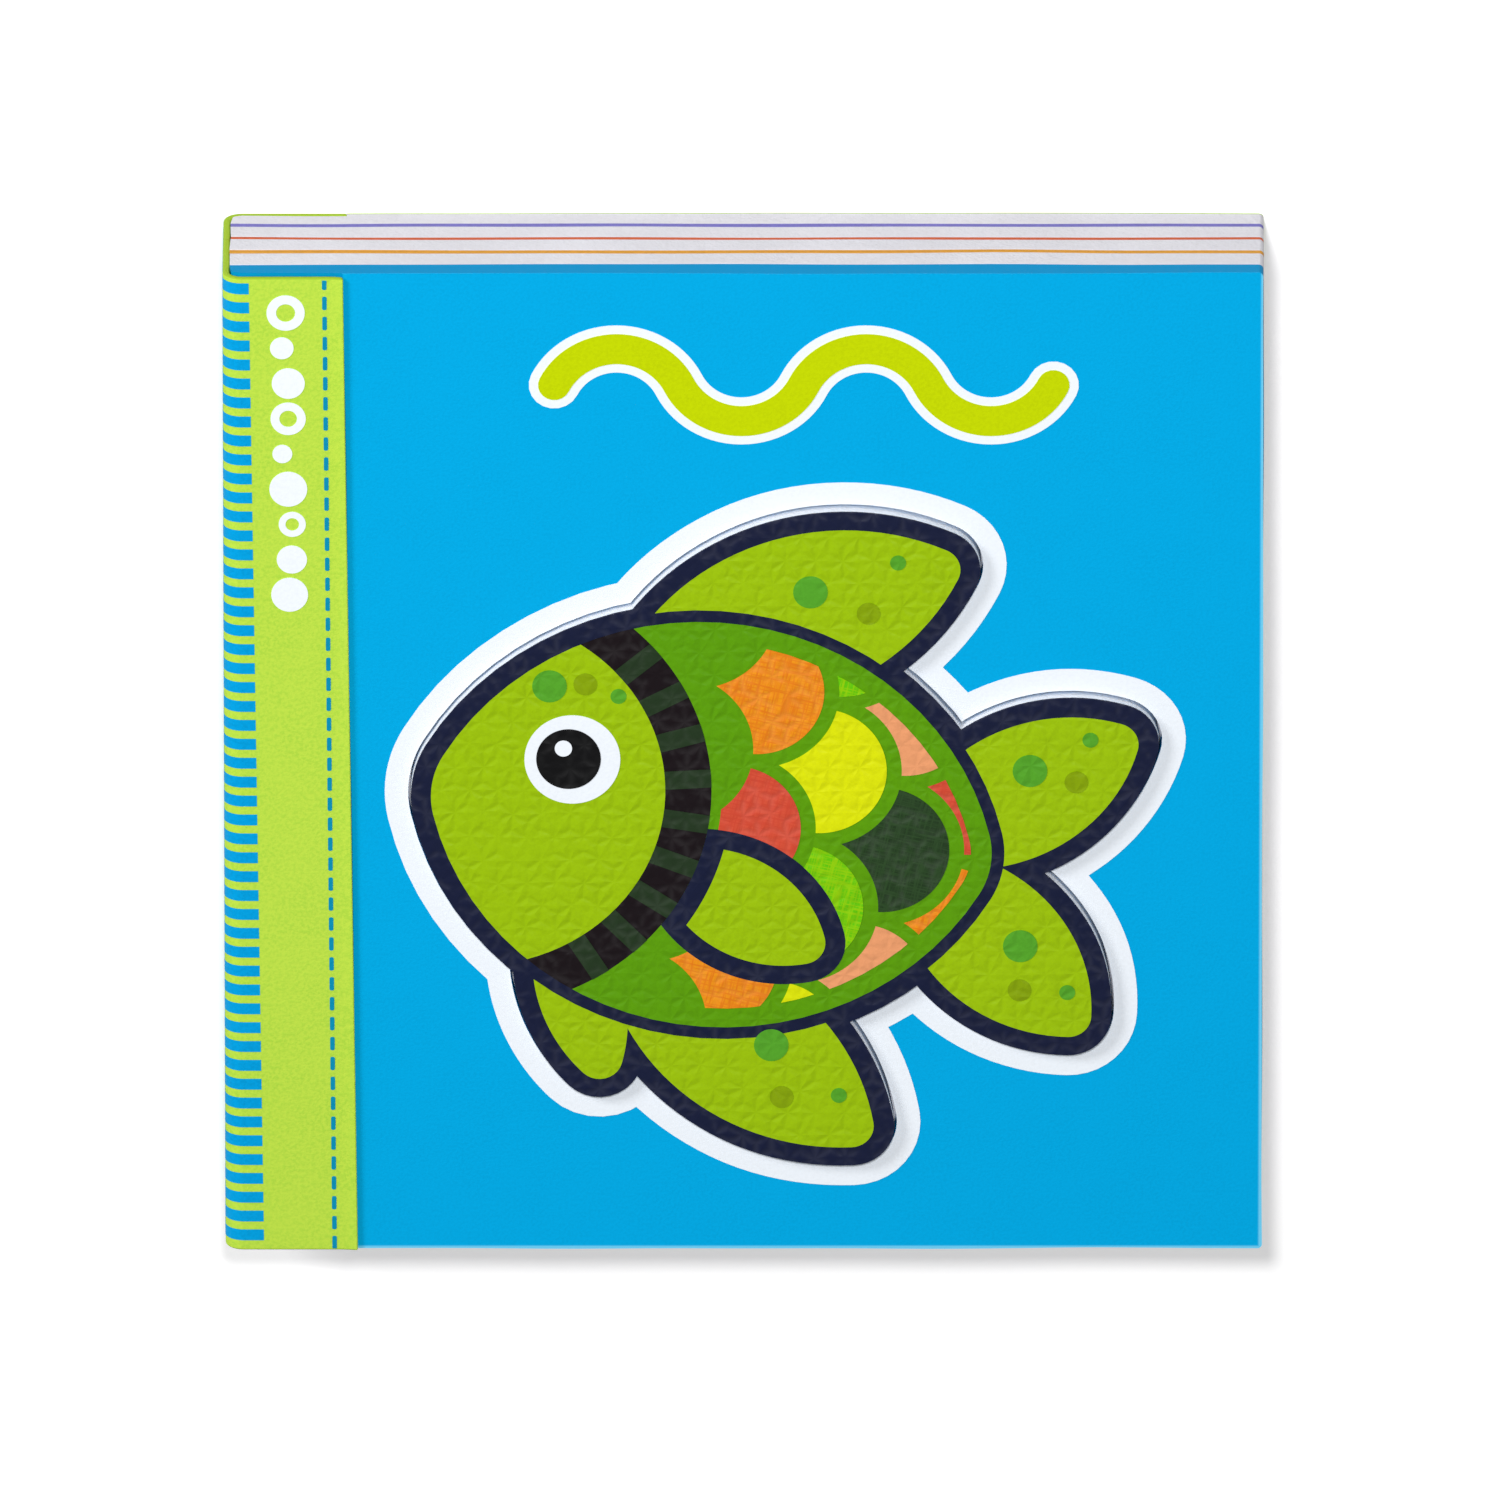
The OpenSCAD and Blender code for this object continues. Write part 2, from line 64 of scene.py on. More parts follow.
# Places that the strip and the cover's looks are fitted to, taken from the CAD parts' bounds
STRIP_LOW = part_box("spine_wrap_back")[0]
STRIP_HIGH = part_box("spine_wrap_front")[1]
BARS_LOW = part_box("spine_bars_back")[0]
BOOK_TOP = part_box("front_board")[1].y
FORE_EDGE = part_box("front_board")[1].x
COVER_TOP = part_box("cover_layer")[1].z
BACK_FLAP_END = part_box("spine_wrap_back")[1].x
BACK_FOLD = (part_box("back_lining")[1].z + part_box("page_sheet_back")[0].z) / 2
FRONT_FOLD = (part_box("page_sheet_front")[1].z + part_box("front_lining")[0].z) / 2
MID_PAGES = (BACK_FOLD + FRONT_FOLD) / 2

# Room that holds the pop-out piece's opening and its white margin, and nothing else
MARGIN_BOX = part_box("popout_margin")
OPENING_ROOM = (MARGIN_BOX[0] - Vector((MM, MM, 0)), MARGIN_BOX[1] + Vector((MM, MM, 0)))

# Limits that sort the points, faces and edges of a mesh
SAME_POINT = 1e-6
ON_THE_CUT = 1e-7
LEVEL_FACE = 0.9
UPRIGHT_FACE = 0.3
NEAR_MIDDLE = 1e-5
FLAT_ANGLE = math.radians(0.4)
SHARP_ANGLE = math.radians(35)
RIM_ANGLE = 1.2

# How finely the layers, the roundings and the strip are divided
WALL_STEP = 6 * MM
ROUND_STEPS = 3
STRIP_ROWS = 74
FLAT_STEPS = 24
ARC_STEPS = 12
WALL_STEPS = 30

# Roundings too small for the sidebar, the last as a share of a dash's width
PRINT_ROUND = 0.04 * MM
POPOUT_ROUND = 0.1 * MM
DASH_CORNER = 0.35

# How far the bars' ink sinks into the strip, and how deep the prints' grains are
INK_SUNK = 0.02 * MM
FINE_GRAIN = 0.04 * MM
COARSE_GRAIN = 0.08 * MM

# The slow noise that moves the walls: its waves per metre, and where its second half is read
SWAY_WAVES = (38, 38, 160)
SWAY_OTHER = Vector((7.3, 3.1, 5.7))

# Roughness and specular level of each kind of surface
FOAM_SURFACE = (0.85, 0.15)
COVER_SURFACE = (0.6, 0.04)
SHEET_SURFACE = (0.55, 0.05)
FILM_SURFACE = (0.36, 0.22)

# The sky's strength on the book, and the light that the floor adds for the camera alone
SKY_STRENGTH = 0.255
FLOOR_LIFT = 0.4


def ink(red, green, blue):
    """A printed colour, given as a screen shows it, in Blender's linear values."""
    linear = []
    for part in (red, green, blue):
        share = part / 255
        linear.append(share / 12.92 if share < 0.04045 else ((share + 0.055) / 1.055) ** 2.4)
    return tuple(linear)


def length(name, description, default):
    """A length in metres that the sidebar shows."""
    return bpy.props.FloatProperty(
        name=name, description=description, default=default, min=0, precision=5,
        unit="LENGTH", subtype="DISTANCE",
    )


def colour(name, description, default):
    """A colour that the sidebar shows."""
    return bpy.props.FloatVectorProperty(
        name=name, description=description, default=default, min=0, max=1, size=3,
        subtype="COLOR",
    )


class FoamBookSizes(bpy.types.PropertyGroup):
    foam_round: length("Foam edge", "Rounding of the foam layers' edges", 0.4 * MM)
    sheet_round: length("Sheet edge", "Rounding of the printed sheets' edges", 0.12 * MM)
    film_round: length("Film edge", "How far the navy film rounds down over the foam", 0.34 * MM)
    sway: length("Sway", "How far the hand-cut foam walls wander", 0.22 * MM)
    kerf: length("Kerf", "How far the cover's foam stands back from the cut", 0.15 * MM)
    strip_round: length("Strip edge", "Rounding of the spine strip's edges", 0.35 * MM)
    strip_thickness: length("Strip thickness", "Thickness of the soft spine strip", 1.2 * MM)
    strip_radius: length("Strip radius", "Outer radius round each long edge", 3.2 * MM)
    strip_short: length("Strip short", "How far the flap stops short of the top edge", 0.6 * MM)
    flap_lift: length("Flap lift", "How far the flap's free edge lifts", 0.4 * MM)
    lift_reach: length("Lift reach", "Width of the flap's lifted edge", 2.8 * MM)
    flap_width: length("Flap width", "Front flap's width at the top edge", 20.9 * MM)
    flap_skew: length("Flap skew", "How much wider the flap is at the bottom", 2.2 * MM)
    bar_height: length("Bar height", "Height of each blue bar", 2.03 * MM)
    bar_pitch: length("Bar pitch", "Distance from one bar to the next", 3.56 * MM)
    bar_shift: length("Bar shift", "How far the row of bars sits towards the top", 0.2 * MM)
    bar_reach: length("Bar reach", "How far the bars reach over the cover", 4.6 * MM)
    bar_proud: length("Bar proud", "How far the bars' ink stands proud", 0.06 * MM)
    dash_width: length("Dash width", "Width of the printed dashes", 0.8 * MM)
    dash_length: length("Dash length", "Length of the printed dashes", 2.5 * MM)
    dash_pitch: length("Dash pitch", "Distance from one dash to the next", 3.76 * MM)
    dash_inset: length("Dash inset", "From the flap's edge to the dashes, at the top", 3.25 * MM)
    dash_skew: length("Dash skew", "How much further out the dashes are at the bottom", 1.4 * MM)
    fold_reach: length("Fold reach", "How far each fold bends to either side", 1.6 * MM)
    emboss_pitch: length("Emboss pitch", "Distance between the embossed stars", 5.0 * MM)
    emboss_width: length("Emboss width", "Width of an embossed crease", 1.0 * MM)
    emboss_depth: length("Emboss depth", "Depth of an embossed crease", 0.11 * MM)
    camera_distance: length("Camera distance", "From the book to the camera", 12.0)
    frame_width: length("Frame width", "Width of the floor that the view takes in", 260.1 * MM)
    view_tilt: bpy.props.FloatProperty(
        name="View tilt", description="Tilt of the view towards the top edge",
        default=math.radians(23), unit="ROTATION", subtype="ANGLE",
    )


class FoamBookColours(bpy.types.PropertyGroup):
    white_foam: colour("White foam", "Cut foam of the boards and leaves", ink(221, 220, 226))
    popout_white: colour("Pop-out foam", "Foam of the pop-out piece", ink(244, 246, 252))
    cover_blue: colour("Cover blue", "Blue foam layer and its print", ink(0, 170, 229))
    # Painted shade: a darker colour for the blue layer's cut side
    cover_side_shade: colour("Cover side", "Cut side of the blue foam layer", ink(0, 141, 196))
    bar_blue: colour("Bar blue", "Bars on the strip", ink(0, 160, 224))
    dash_blue: colour("Dash blue", "Dashes on the strip", ink(8, 144, 182))
    # Painted highlight: a pale line along the cover's right and bottom edges
    cover_rim_highlight: colour("Cover rim", "Pale worn line at the cover's edges", ink(120, 212, 246))
    strip_lime: colour("Strip lime", "Spine strip", ink(192, 225, 74))
    # Painted shade: a darker colour for the strip's cut ends
    strip_end_shade: colour("Strip end", "Cut ends of the spine strip", ink(158, 190, 48))
    strip_speckle: colour("Strip speckle", "Mottle in the strip's print", ink(150, 205, 60))
    lime_sheet: colour("Back sheet", "Outside of the back cover", ink(168, 200, 60))
    indigo_sheet: colour("Indigo sheet", "Last spread", ink(122, 118, 186))
    red_sheet: colour("Red sheet", "Middle spread", ink(199, 97, 62))
    orange_sheet: colour("Orange sheet", "First spread", ink(208, 151, 64))
    white_print: colour("White print", "Margin and borders", ink(242, 248, 255))
    wave_lime: colour("Wave lime", "Wave ribbon", ink(196, 216, 0))
    navy: colour("Navy film", "Outline of the pop-out piece", ink(19, 26, 56))
    fin_lime: colour("Fin lime", "Fins and head", ink(156, 194, 0))
    band_brown: colour("Band brown", "Gill band", ink(22, 13, 18))
    stripe_green: colour("Stripe green", "Stripes across the gill band", ink(34, 54, 30))
    bed_green: colour("Bed green", "Lines between the scales", ink(92, 158, 0))
    coral: colour("Coral", "Coral scales", ink(215, 82, 56))
    peach: colour("Peach", "Peach scales", ink(238, 160, 110))
    yellow: colour("Yellow", "Yellow scales", ink(222, 230, 0))
    orange: colour("Orange", "Orange scales", ink(240, 150, 20))
    dark_green: colour("Dark green", "Dark green scales", ink(32, 56, 28))
    bright_green: colour("Bright green", "Bright green scales", ink(96, 196, 0))
    spot_green: colour("Green spots", "Green spots on the fins", ink(85, 165, 40))
    spot_olive: colour("Olive spots", "Olive spots on the fins", ink(135, 165, 0))
    pupil_black: colour("Pupil", "Black of the eye", ink(12, 12, 14))
    floor_white: colour("Floor", "Plain pale floor", (0.9, 0.9, 0.9))


def sizes():
    return bpy.context.scene.foam_book_sizes


def colours():
    return bpy.context.scene.foam_book_colours


# Shader node helpers

def add_node(tree, kind, label="", **settings):
    """Adds a shader or geometry node and sets its options."""
    node = tree.nodes.new(kind)
    node.label = label
    for name, value in settings.items():
        setattr(node, name, value)
    return node


def feed(tree, socket, value):
    """Links an output to a socket, or sets the socket's own value."""
    if isinstance(value, bpy.types.NodeSocket):
        tree.links.new(value, socket)
    else:
        socket.default_value = value


def sum_up(tree, operation, *values, label=""):
    """A Math node's output."""
    node = add_node(tree, "ShaderNodeMath", label, operation=operation)
    for socket, value in zip(node.inputs, values):
        feed(tree, socket, value)
    return node.outputs[0]


def move(tree, operation, *values, label=""):
    """A Vector Math node's vector output."""
    node = add_node(tree, "ShaderNodeVectorMath", label, operation=operation)
    for socket, value in zip(node.inputs, values):
        feed(tree, socket, value)
    return node.outputs["Vector"]


def size_of(tree, vector):
    node = add_node(tree, "ShaderNodeVectorMath", operation="LENGTH")
    feed(tree, node.inputs[0], vector)
    return node.outputs["Value"]


def blend_colours(tree, share, first, second):
    """A colour between two colours."""
    node = add_node(tree, "ShaderNodeMix", data_type="RGBA")
    feed(tree, node.inputs["Factor"], share)
    feed(tree, node.inputs[6], first)
    feed(tree, node.inputs[7], second)
    return node.outputs[2]


def remap(tree, value, low, high, to_low=0.0, to_high=1.0, smooth=True):
    """A value moved from one span to another, and held inside it."""
    node = add_node(tree, "ShaderNodeMapRange")
    node.interpolation_type = "SMOOTHSTEP" if smooth else "LINEAR"
    for name, amount in (("Value", value), ("From Min", low), ("From Max", high),
                         ("To Min", to_low), ("To Max", to_high)):
        feed(tree, node.inputs[name], amount)
    return node.outputs["Result"]


def cloud(tree, coordinate, scale, detail=2.0, roughness=0.5):
    """A noise texture's value."""
    node = add_node(tree, "ShaderNodeTexNoise")
    feed(tree, node.inputs["Vector"], coordinate)
    feed(tree, node.inputs["Scale"], scale)
    node.inputs["Detail"].default_value = detail
    node.inputs["Roughness"].default_value = roughness
    return node.outputs["Fac"]


def new_group(name, ins, outs):
    """An empty shader group with named sockets. Returns its tree, inputs and output node."""
    tree = bpy.data.node_groups.new(name, "ShaderNodeTree")
    for label, kind, default in ins:
        socket = tree.interface.new_socket(label, in_out="INPUT", socket_type=kind)
        if default is not None:
            socket.default_value = default
    for label, kind in outs:
        tree.interface.new_socket(label, in_out="OUTPUT", socket_type=kind)
    entry = tree.nodes.new("NodeGroupInput")
    leave = tree.nodes.new("NodeGroupOutput")
    return tree, entry.outputs, leave.inputs


VECTOR, NUMBER, COLOUR = "NodeSocketVector", "NodeSocketFloat", "NodeSocketColor"


def make_foam_cells():
    """Closed foam cells, with a slow change in depth from one part of a wall to another."""
    tree, given, out = new_group(
        "foam cells", [("Coordinate", VECTOR, None), ("Cells per metre", NUMBER, 1700.0)],
        [("Height", NUMBER), ("Shade", NUMBER)])
    cells = add_node(tree, "ShaderNodeTexVoronoi", "cells", feature="F1")
    feed(tree, cells.inputs["Vector"], given["Coordinate"])
    feed(tree, cells.inputs["Scale"], given["Cells per metre"])
    fine = cloud(tree, given["Coordinate"], scale=900.0, detail=4.0, roughness=0.6)
    slow = cloud(tree, given["Coordinate"], scale=60.0)
    cell_share = 0.6
    height = sum_up(tree, "MULTIPLY_ADD", cells.outputs["Distance"], cell_share, fine)
    shade_span = (0.7, 1.3)
    feed(tree, out["Height"], height)
    feed(tree, out["Shade"], remap(tree, sum_up(tree, "ADD", slow, fine), *shade_span))


def make_ink_mottle():
    """Uneven ink: fine speckles and slow clouds of a second colour."""
    tree, given, out = new_group(
        "ink mottle",
        [("Coordinate", VECTOR, None), ("Ink", COLOUR, (1, 1, 1, 1)),
         ("Speckle", COLOUR, (0, 0, 0, 1)), ("Speckles per metre", NUMBER, 1600.0),
         ("Amount", NUMBER, 0.3)],
        [("Color", COLOUR), ("Height", NUMBER)])
    fine = cloud(tree, given["Coordinate"], given["Speckles per metre"], detail=3.0,
                 roughness=0.65)
    slow = cloud(tree, given["Coordinate"], scale=130.0, detail=3.0, roughness=0.6)
    grain_span = (0.38, 0.66)
    drift_span = (0.3, 0.7)
    least_drift = 0.55
    grain = remap(tree, fine, *grain_span)
    drift = remap(tree, slow, *drift_span, least_drift, 1.0)
    share = sum_up(tree, "MULTIPLY", grain, drift)
    share = sum_up(tree, "MULTIPLY", share, given["Amount"])
    feed(tree, out["Color"], blend_colours(tree, share, given["Ink"], given["Speckle"]))
    feed(tree, out["Height"], fine)


def make_star_emboss():
    """Embossed creases: six spokes round each point of a triangular grid, pressed unevenly."""
    tree, given, out = new_group(
        "star emboss",
        [("Coordinate", VECTOR, None), ("Pitch", NUMBER, 5.0 * MM), ("Width", NUMBER, MM)],
        [("Height", NUMBER), ("Crease", NUMBER)])
    wander_scale = 170.0
    wander_reach = 1.5 * MM
    crumple_share = 0.25
    dome_share = 2.2
    wear_span = (0.36, 0.62)
    wander = add_node(tree, "ShaderNodeTexNoise", "uneven pressing")
    feed(tree, wander.inputs["Vector"], given["Coordinate"])
    wander.inputs["Scale"].default_value = wander_scale
    wander.inputs["Detail"].default_value = 1.0
    nudge = move(tree, "SUBTRACT", wander.outputs["Color"], (0.5, 0.5, 0.5))
    nudge = move(tree, "MULTIPLY", nudge, (wander_reach, wander_reach, 0.0))
    place = move(tree, "ADD", given["Coordinate"], nudge)
    row = sum_up(tree, "MULTIPLY", given["Pitch"], math.sqrt(3))
    half_pitch = sum_up(tree, "MULTIPLY", given["Pitch"], 0.5)
    half_row = sum_up(tree, "MULTIPLY", row, 0.5)
    corner = add_node(tree, "ShaderNodeCombineXYZ", "half cell")
    feed(tree, corner.inputs[0], half_pitch)
    feed(tree, corner.inputs[1], half_row)
    corner.inputs[2].default_value = 1.0
    high = corner.outputs[0]
    low = move(tree, "MULTIPLY", high, (-1, -1, -1))
    flat = move(tree, "MULTIPLY", place, (1, 1, 0))
    near = move(tree, "WRAP", flat, high, low, label="straight cells")
    other = move(tree, "WRAP", move(tree, "ADD", flat, high), high, low, label="shifted cells")
    near = move(tree, "MULTIPLY", near, (1, 1, 0))
    other = move(tree, "MULTIPLY", other, (1, 1, 0))
    near_size = size_of(tree, near)
    other_size = size_of(tree, other)
    first = sum_up(tree, "LESS_THAN", near_size, other_size)
    pick = add_node(tree, "ShaderNodeMix", "nearest star", data_type="VECTOR")
    feed(tree, pick.inputs["Factor"], first)
    feed(tree, pick.inputs[4], other)
    feed(tree, pick.inputs[5], near)
    parts = add_node(tree, "ShaderNodeSeparateXYZ")
    feed(tree, parts.inputs[0], pick.outputs[1])
    angle = sum_up(tree, "ARCTAN2", parts.outputs[1], parts.outputs[0])
    sixth = math.pi / 3
    turn = sum_up(tree, "WRAP", angle, sixth, 0.0)
    turn = sum_up(tree, "ABSOLUTE", sum_up(tree, "SUBTRACT", turn, sixth / 2))
    reach = sum_up(tree, "MINIMUM", near_size, other_size)
    gap = sum_up(tree, "MULTIPLY", reach, sum_up(tree, "SINE", turn), label="to the crease")
    crease = remap(tree, gap, 0.0, given["Width"], 1.0, 0.0)
    wear = remap(tree, cloud(tree, given["Coordinate"], scale=230.0, roughness=0.6), *wear_span)
    kept = sum_up(tree, "MULTIPLY", crease, wear)
    crumple = cloud(tree, given["Coordinate"], scale=420.0)
    crumple = sum_up(tree, "MULTIPLY", crumple, crumple_share)
    dome = sum_up(tree, "DIVIDE", gap, given["Pitch"])
    height = sum_up(tree, "MULTIPLY_ADD", kept, -1.0, crumple)
    height = sum_up(tree, "MULTIPLY_ADD", dome, dome_share, height)
    feed(tree, out["Height"], height)
    feed(tree, out["Crease"], kept)


def make_linen_print():
    """Threads of a printed linen pattern, running both ways with uneven strength."""
    tree, given, out = new_group(
        "linen print",
        [("Coordinate", VECTOR, None), ("Ink", COLOUR, (1, 1, 1, 1)),
         ("Thread", COLOUR, (0, 0, 0, 1)), ("Amount", NUMBER, 0.5)],
        [("Color", COLOUR)])
    askew = math.radians(14)
    along = 120.0
    across = 2200.0
    thread_span = (0.42, 0.62)
    turned = add_node(tree, "ShaderNodeVectorRotate", "askew", rotation_type="Z_AXIS")
    feed(tree, turned.inputs["Vector"], given["Coordinate"])
    turned.inputs["Angle"].default_value = askew
    shares = []
    for stretch in ((along, across, 1.0), (across, along, 1.0)):
        drawn_out = move(tree, "MULTIPLY", turned.outputs[0], stretch)
        threads = cloud(tree, drawn_out, scale=1.0, roughness=0.7)
        shares.append(remap(tree, threads, *thread_span))
    woven = sum_up(tree, "MAXIMUM", shares[0], shares[1])
    share = sum_up(tree, "MULTIPLY", woven, given["Amount"])
    feed(tree, out["Color"], blend_colours(tree, share, given["Ink"], given["Thread"]))


def opaque(rgb):
    return (rgb[0], rgb[1], rgb[2], 1.0)


def shaded(rgb, share):
    """A darker shade (share under 1) or a paler tint (share over 1) of a colour."""
    if share <= 1:
        return tuple(part * share for part in rgb)
    return tuple(part + (1 - part) * (share - 1) for part in rgb)


def start_material(name, surface):
    """A material with its Principled shader and Object coordinates."""
    roughness, specular = surface
    material = bpy.data.materials.new(name)
    material.use_nodes = True
    tree = material.node_tree
    shader = tree.nodes["Principled BSDF"]
    shader.inputs["Roughness"].default_value = roughness
    shader.inputs["Specular IOR Level"].default_value = specular
    place = add_node(tree, "ShaderNodeTexCoord").outputs["Object"]
    return material, tree, shader, place


def use_group(tree, name, **values):
    """Places a shared group; underscores in the names stand for spaces."""
    node = add_node(tree, "ShaderNodeGroup", name)
    node.node_tree = bpy.data.node_groups[name]
    for key, value in values.items():
        feed(tree, node.inputs[key.replace("_", " ")], value)
    return node.outputs


def press(tree, shader, height, distance):
    """A Bump node that feeds the shader's normal."""
    bump = add_node(tree, "ShaderNodeBump")
    bump.inputs["Distance"].default_value = distance
    bump.inputs["Strength"].default_value = 1.0
    feed(tree, bump.inputs["Height"], height)
    feed(tree, shader.inputs["Normal"], bump.outputs[0])


def foam_material(name, rgb):
    """Matte closed-cell foam with a fine grain."""
    material, tree, shader, place = start_material(name, FOAM_SURFACE)
    cells = use_group(tree, "foam cells", Coordinate=place)
    deep = shaded(rgb, 0.93)
    feed(tree, shader.inputs["Base Color"],
         blend_colours(tree, cells["Shade"], opaque(deep), opaque(rgb)))
    press(tree, shader, cells["Height"], distance=0.12 * MM)
    return material


def cover_material(name, rgb, rim, side):
    """Printed foam layer: grain in its ink, a painted highlight as a pale line along its right
    and bottom edges, and painted shade on its darker cut side.
    """
    material, tree, shader, place = start_material(name, COVER_SURFACE)
    print_ = use_group(tree, "ink mottle", Coordinate=place, Ink=opaque(rgb),
                       Speckle=opaque(shaded(rgb, 0.86)), Speckles_per_metre=1900.0, Amount=0.5)
    parts = add_node(tree, "ShaderNodeSeparateXYZ")
    feed(tree, parts.inputs[0], place)
    right = sum_up(tree, "SUBTRACT", FORE_EDGE, parts.outputs[0])
    below = sum_up(tree, "ADD", parts.outputs[1], BOOK_TOP)
    edge = sum_up(tree, "MINIMUM", right, below)
    # Painted highlight: a pale line along the top face's right and bottom edges
    highlight_span = (0.25 * MM, 0.7 * MM)
    highlight_share = 0.85
    painted_highlight = remap(tree, edge, *highlight_span, highlight_share, 0.0)
    top_span = (COVER_TOP - 1.0 * MM, COVER_TOP - 0.3 * MM)
    high = remap(tree, parts.outputs[2], *top_span)
    share = sum_up(tree, "MULTIPLY", painted_highlight, high)
    face = blend_colours(tree, share, print_["Color"], opaque(rim))
    # Painted shade: the layer's walls below its printed top take the darker side colour
    side_shade_span = (COVER_TOP - 0.45 * MM, COVER_TOP - 0.15 * MM)
    cut = remap(tree, parts.outputs[2], *side_shade_span, 1.0, 0.0)
    feed(tree, shader.inputs["Base Color"], blend_colours(tree, cut, face, opaque(side)))
    press(tree, shader, print_["Height"], distance=0.05 * MM)
    return material


def sheet_material(name, rgb, depth, amount, grain):
    """Printed sheet, with deeper speckles in its ink and a grain."""
    material, tree, shader, place = start_material(name, SHEET_SURFACE)
    print_ = use_group(tree, "ink mottle", Coordinate=place, Ink=opaque(rgb),
                       Speckle=opaque(shaded(rgb, depth)), Amount=amount)
    feed(tree, shader.inputs["Base Color"], print_["Color"])
    press(tree, shader, print_["Height"], grain)
    return material


def strip_material(name, rgb, speckle, end):
    """Mottled strip foam, with painted shade that darkens the foam where its ends are cut."""
    material, tree, shader, place = start_material(name, SHEET_SURFACE)
    print_ = use_group(tree, "ink mottle", Coordinate=place, Ink=opaque(rgb),
                       Speckle=opaque(speckle), Amount=0.5)
    parts = add_node(tree, "ShaderNodeSeparateXYZ")
    feed(tree, parts.inputs[0], place)
    drawn_back = remap(tree, parts.outputs[2], STRIP_LOW.z, STRIP_HIGH.z, 0.0,
                       sizes().strip_short, smooth=False)
    above = sum_up(tree, "ADD", parts.outputs[1], drawn_back)
    along = sum_up(tree, "MAXIMUM", above, sum_up(tree, "MULTIPLY", parts.outputs[1], -1.0))
    # Painted shade: both cut ends of the strip take the darker end colour
    end_shade_span = (BOOK_TOP - 0.3 * MM, BOOK_TOP - 0.1 * MM)
    cut = remap(tree, along, *end_shade_span)
    feed(tree, shader.inputs["Base Color"],
         blend_colours(tree, cut, print_["Color"], opaque(end)))
    press(tree, shader, print_["Height"], distance=COARSE_GRAIN)
    return material


def film_material(name, rgb, glint, thread=None, amount=0.0):
    """Satin film, embossed with stars, that carries a plain or a linen print, with painted
    highlight and shade along the creases.
    """
    material, tree, shader, place = start_material(name + " film", FILM_SURFACE)
    size = sizes()
    stars = use_group(tree, "star emboss", Coordinate=place, Pitch=size.emboss_pitch,
                      Width=size.emboss_width)
    if thread is None:
        print_ = use_group(tree, "ink mottle", Coordinate=place, Ink=opaque(rgb),
                           Speckle=opaque(shaded(rgb, 0.82)), Amount=0.45)
    else:
        print_ = use_group(tree, "linen print", Coordinate=place, Ink=opaque(rgb),
                           Thread=opaque(thread), Amount=amount)
    # Painted light along the embossed creases: a glint over 1 paints a paler highlight, a glint
    # under 1 paints darker shade
    crease_light_share = 0.35
    crease_light = sum_up(tree, "MULTIPLY", stars["Crease"], crease_light_share)
    crease_lit = blend_colours(tree, crease_light, print_["Color"], opaque(shaded(rgb, glint)))
    feed(tree, shader.inputs["Base Color"], crease_lit)
    press(tree, shader, stars["Height"], size.emboss_depth)
    return material


def make_materials():
    """Every material of the book, by the name of the finish."""
    paint = colours()
    made = {
        "white foam": foam_material("white foam", paint.white_foam),
        "popout foam": foam_material("popout foam", paint.popout_white),
        "cover blue": cover_material("cover blue", paint.cover_blue, paint.cover_rim_highlight,
                                     paint.cover_side_shade),
        "strip lime": strip_material("strip lime", paint.strip_lime, paint.strip_speckle,
                                     paint.strip_end_shade),
    }
    for name, depth, amount, grain in (
        ("dash_blue", 0.8, 0.4, COARSE_GRAIN), ("bar_blue", 0.75, 0.5, COARSE_GRAIN),
        ("white_print", 0.9, 0.4, FINE_GRAIN), ("wave_lime", 0.82, 0.5, FINE_GRAIN),
        ("lime_sheet", 0.8, 0.5, FINE_GRAIN), ("indigo_sheet", 0.8, 0.5, FINE_GRAIN),
        ("red_sheet", 0.8, 0.5, FINE_GRAIN), ("orange_sheet", 0.8, 0.5, FINE_GRAIN),
    ):
        label = name.replace("_", " ")
        made[label] = sheet_material(label, getattr(paint, name), depth, amount, grain)
    # Each film's glint: over 1 paints a highlight along its creases, under 1 paints shade
    for name, glint in (("navy", 1.035), ("band_brown", 1.03), ("stripe_green", 1.03),
                        ("fin_lime", 0.9), ("bed_green", 0.9), ("peach", 0.93),
                        ("yellow", 0.92), ("spot_green", 0.9), ("spot_olive", 0.92),
                        ("pupil_black", 1.02)):
        made[name] = film_material(name.replace("_", " "), getattr(paint, name), glint)
    for name, glint, thread, amount in (("coral", 1.06, ink(196, 58, 40), 0.5),
                                        ("orange", 1.05, ink(226, 120, 20), 0.9),
                                        ("dark_green", 1.05, ink(52, 84, 44), 0.5),
                                        ("bright_green", 0.9, ink(150, 206, 0), 0.9)):
        made[name] = film_material(name.replace("_", " "), getattr(paint, name), glint,
                                   thread, amount)
    return made


# Mesh helpers

def merged_copy(node):
    """A CAD node's mesh with its doubles merged and its flat faces whole again."""
    mesh = bmesh.new()
    mesh.from_mesh(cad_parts[node].data)
    bmesh.ops.remove_doubles(mesh, verts=mesh.verts, dist=SAME_POINT)
    bmesh.ops.dissolve_limit(mesh, angle_limit=FLAT_ANGLE, verts=mesh.verts, edges=mesh.edges)
    return mesh


def add_object(name, data):
    """Puts a mesh, lamp or camera in the scene."""
    item = bpy.data.objects.new(name, data)
    bpy.context.scene.collection.objects.link(item)
    return item


def cut_along(mesh, place, normal):
    """Cuts the faces of a mesh along a plane, and keeps both sides joined."""
    bmesh.ops.bisect_plane(mesh, geom=mesh.verts[:] + mesh.edges[:] + mesh.faces[:],
                           dist=ON_THE_CUT, plane_co=place, plane_no=normal)


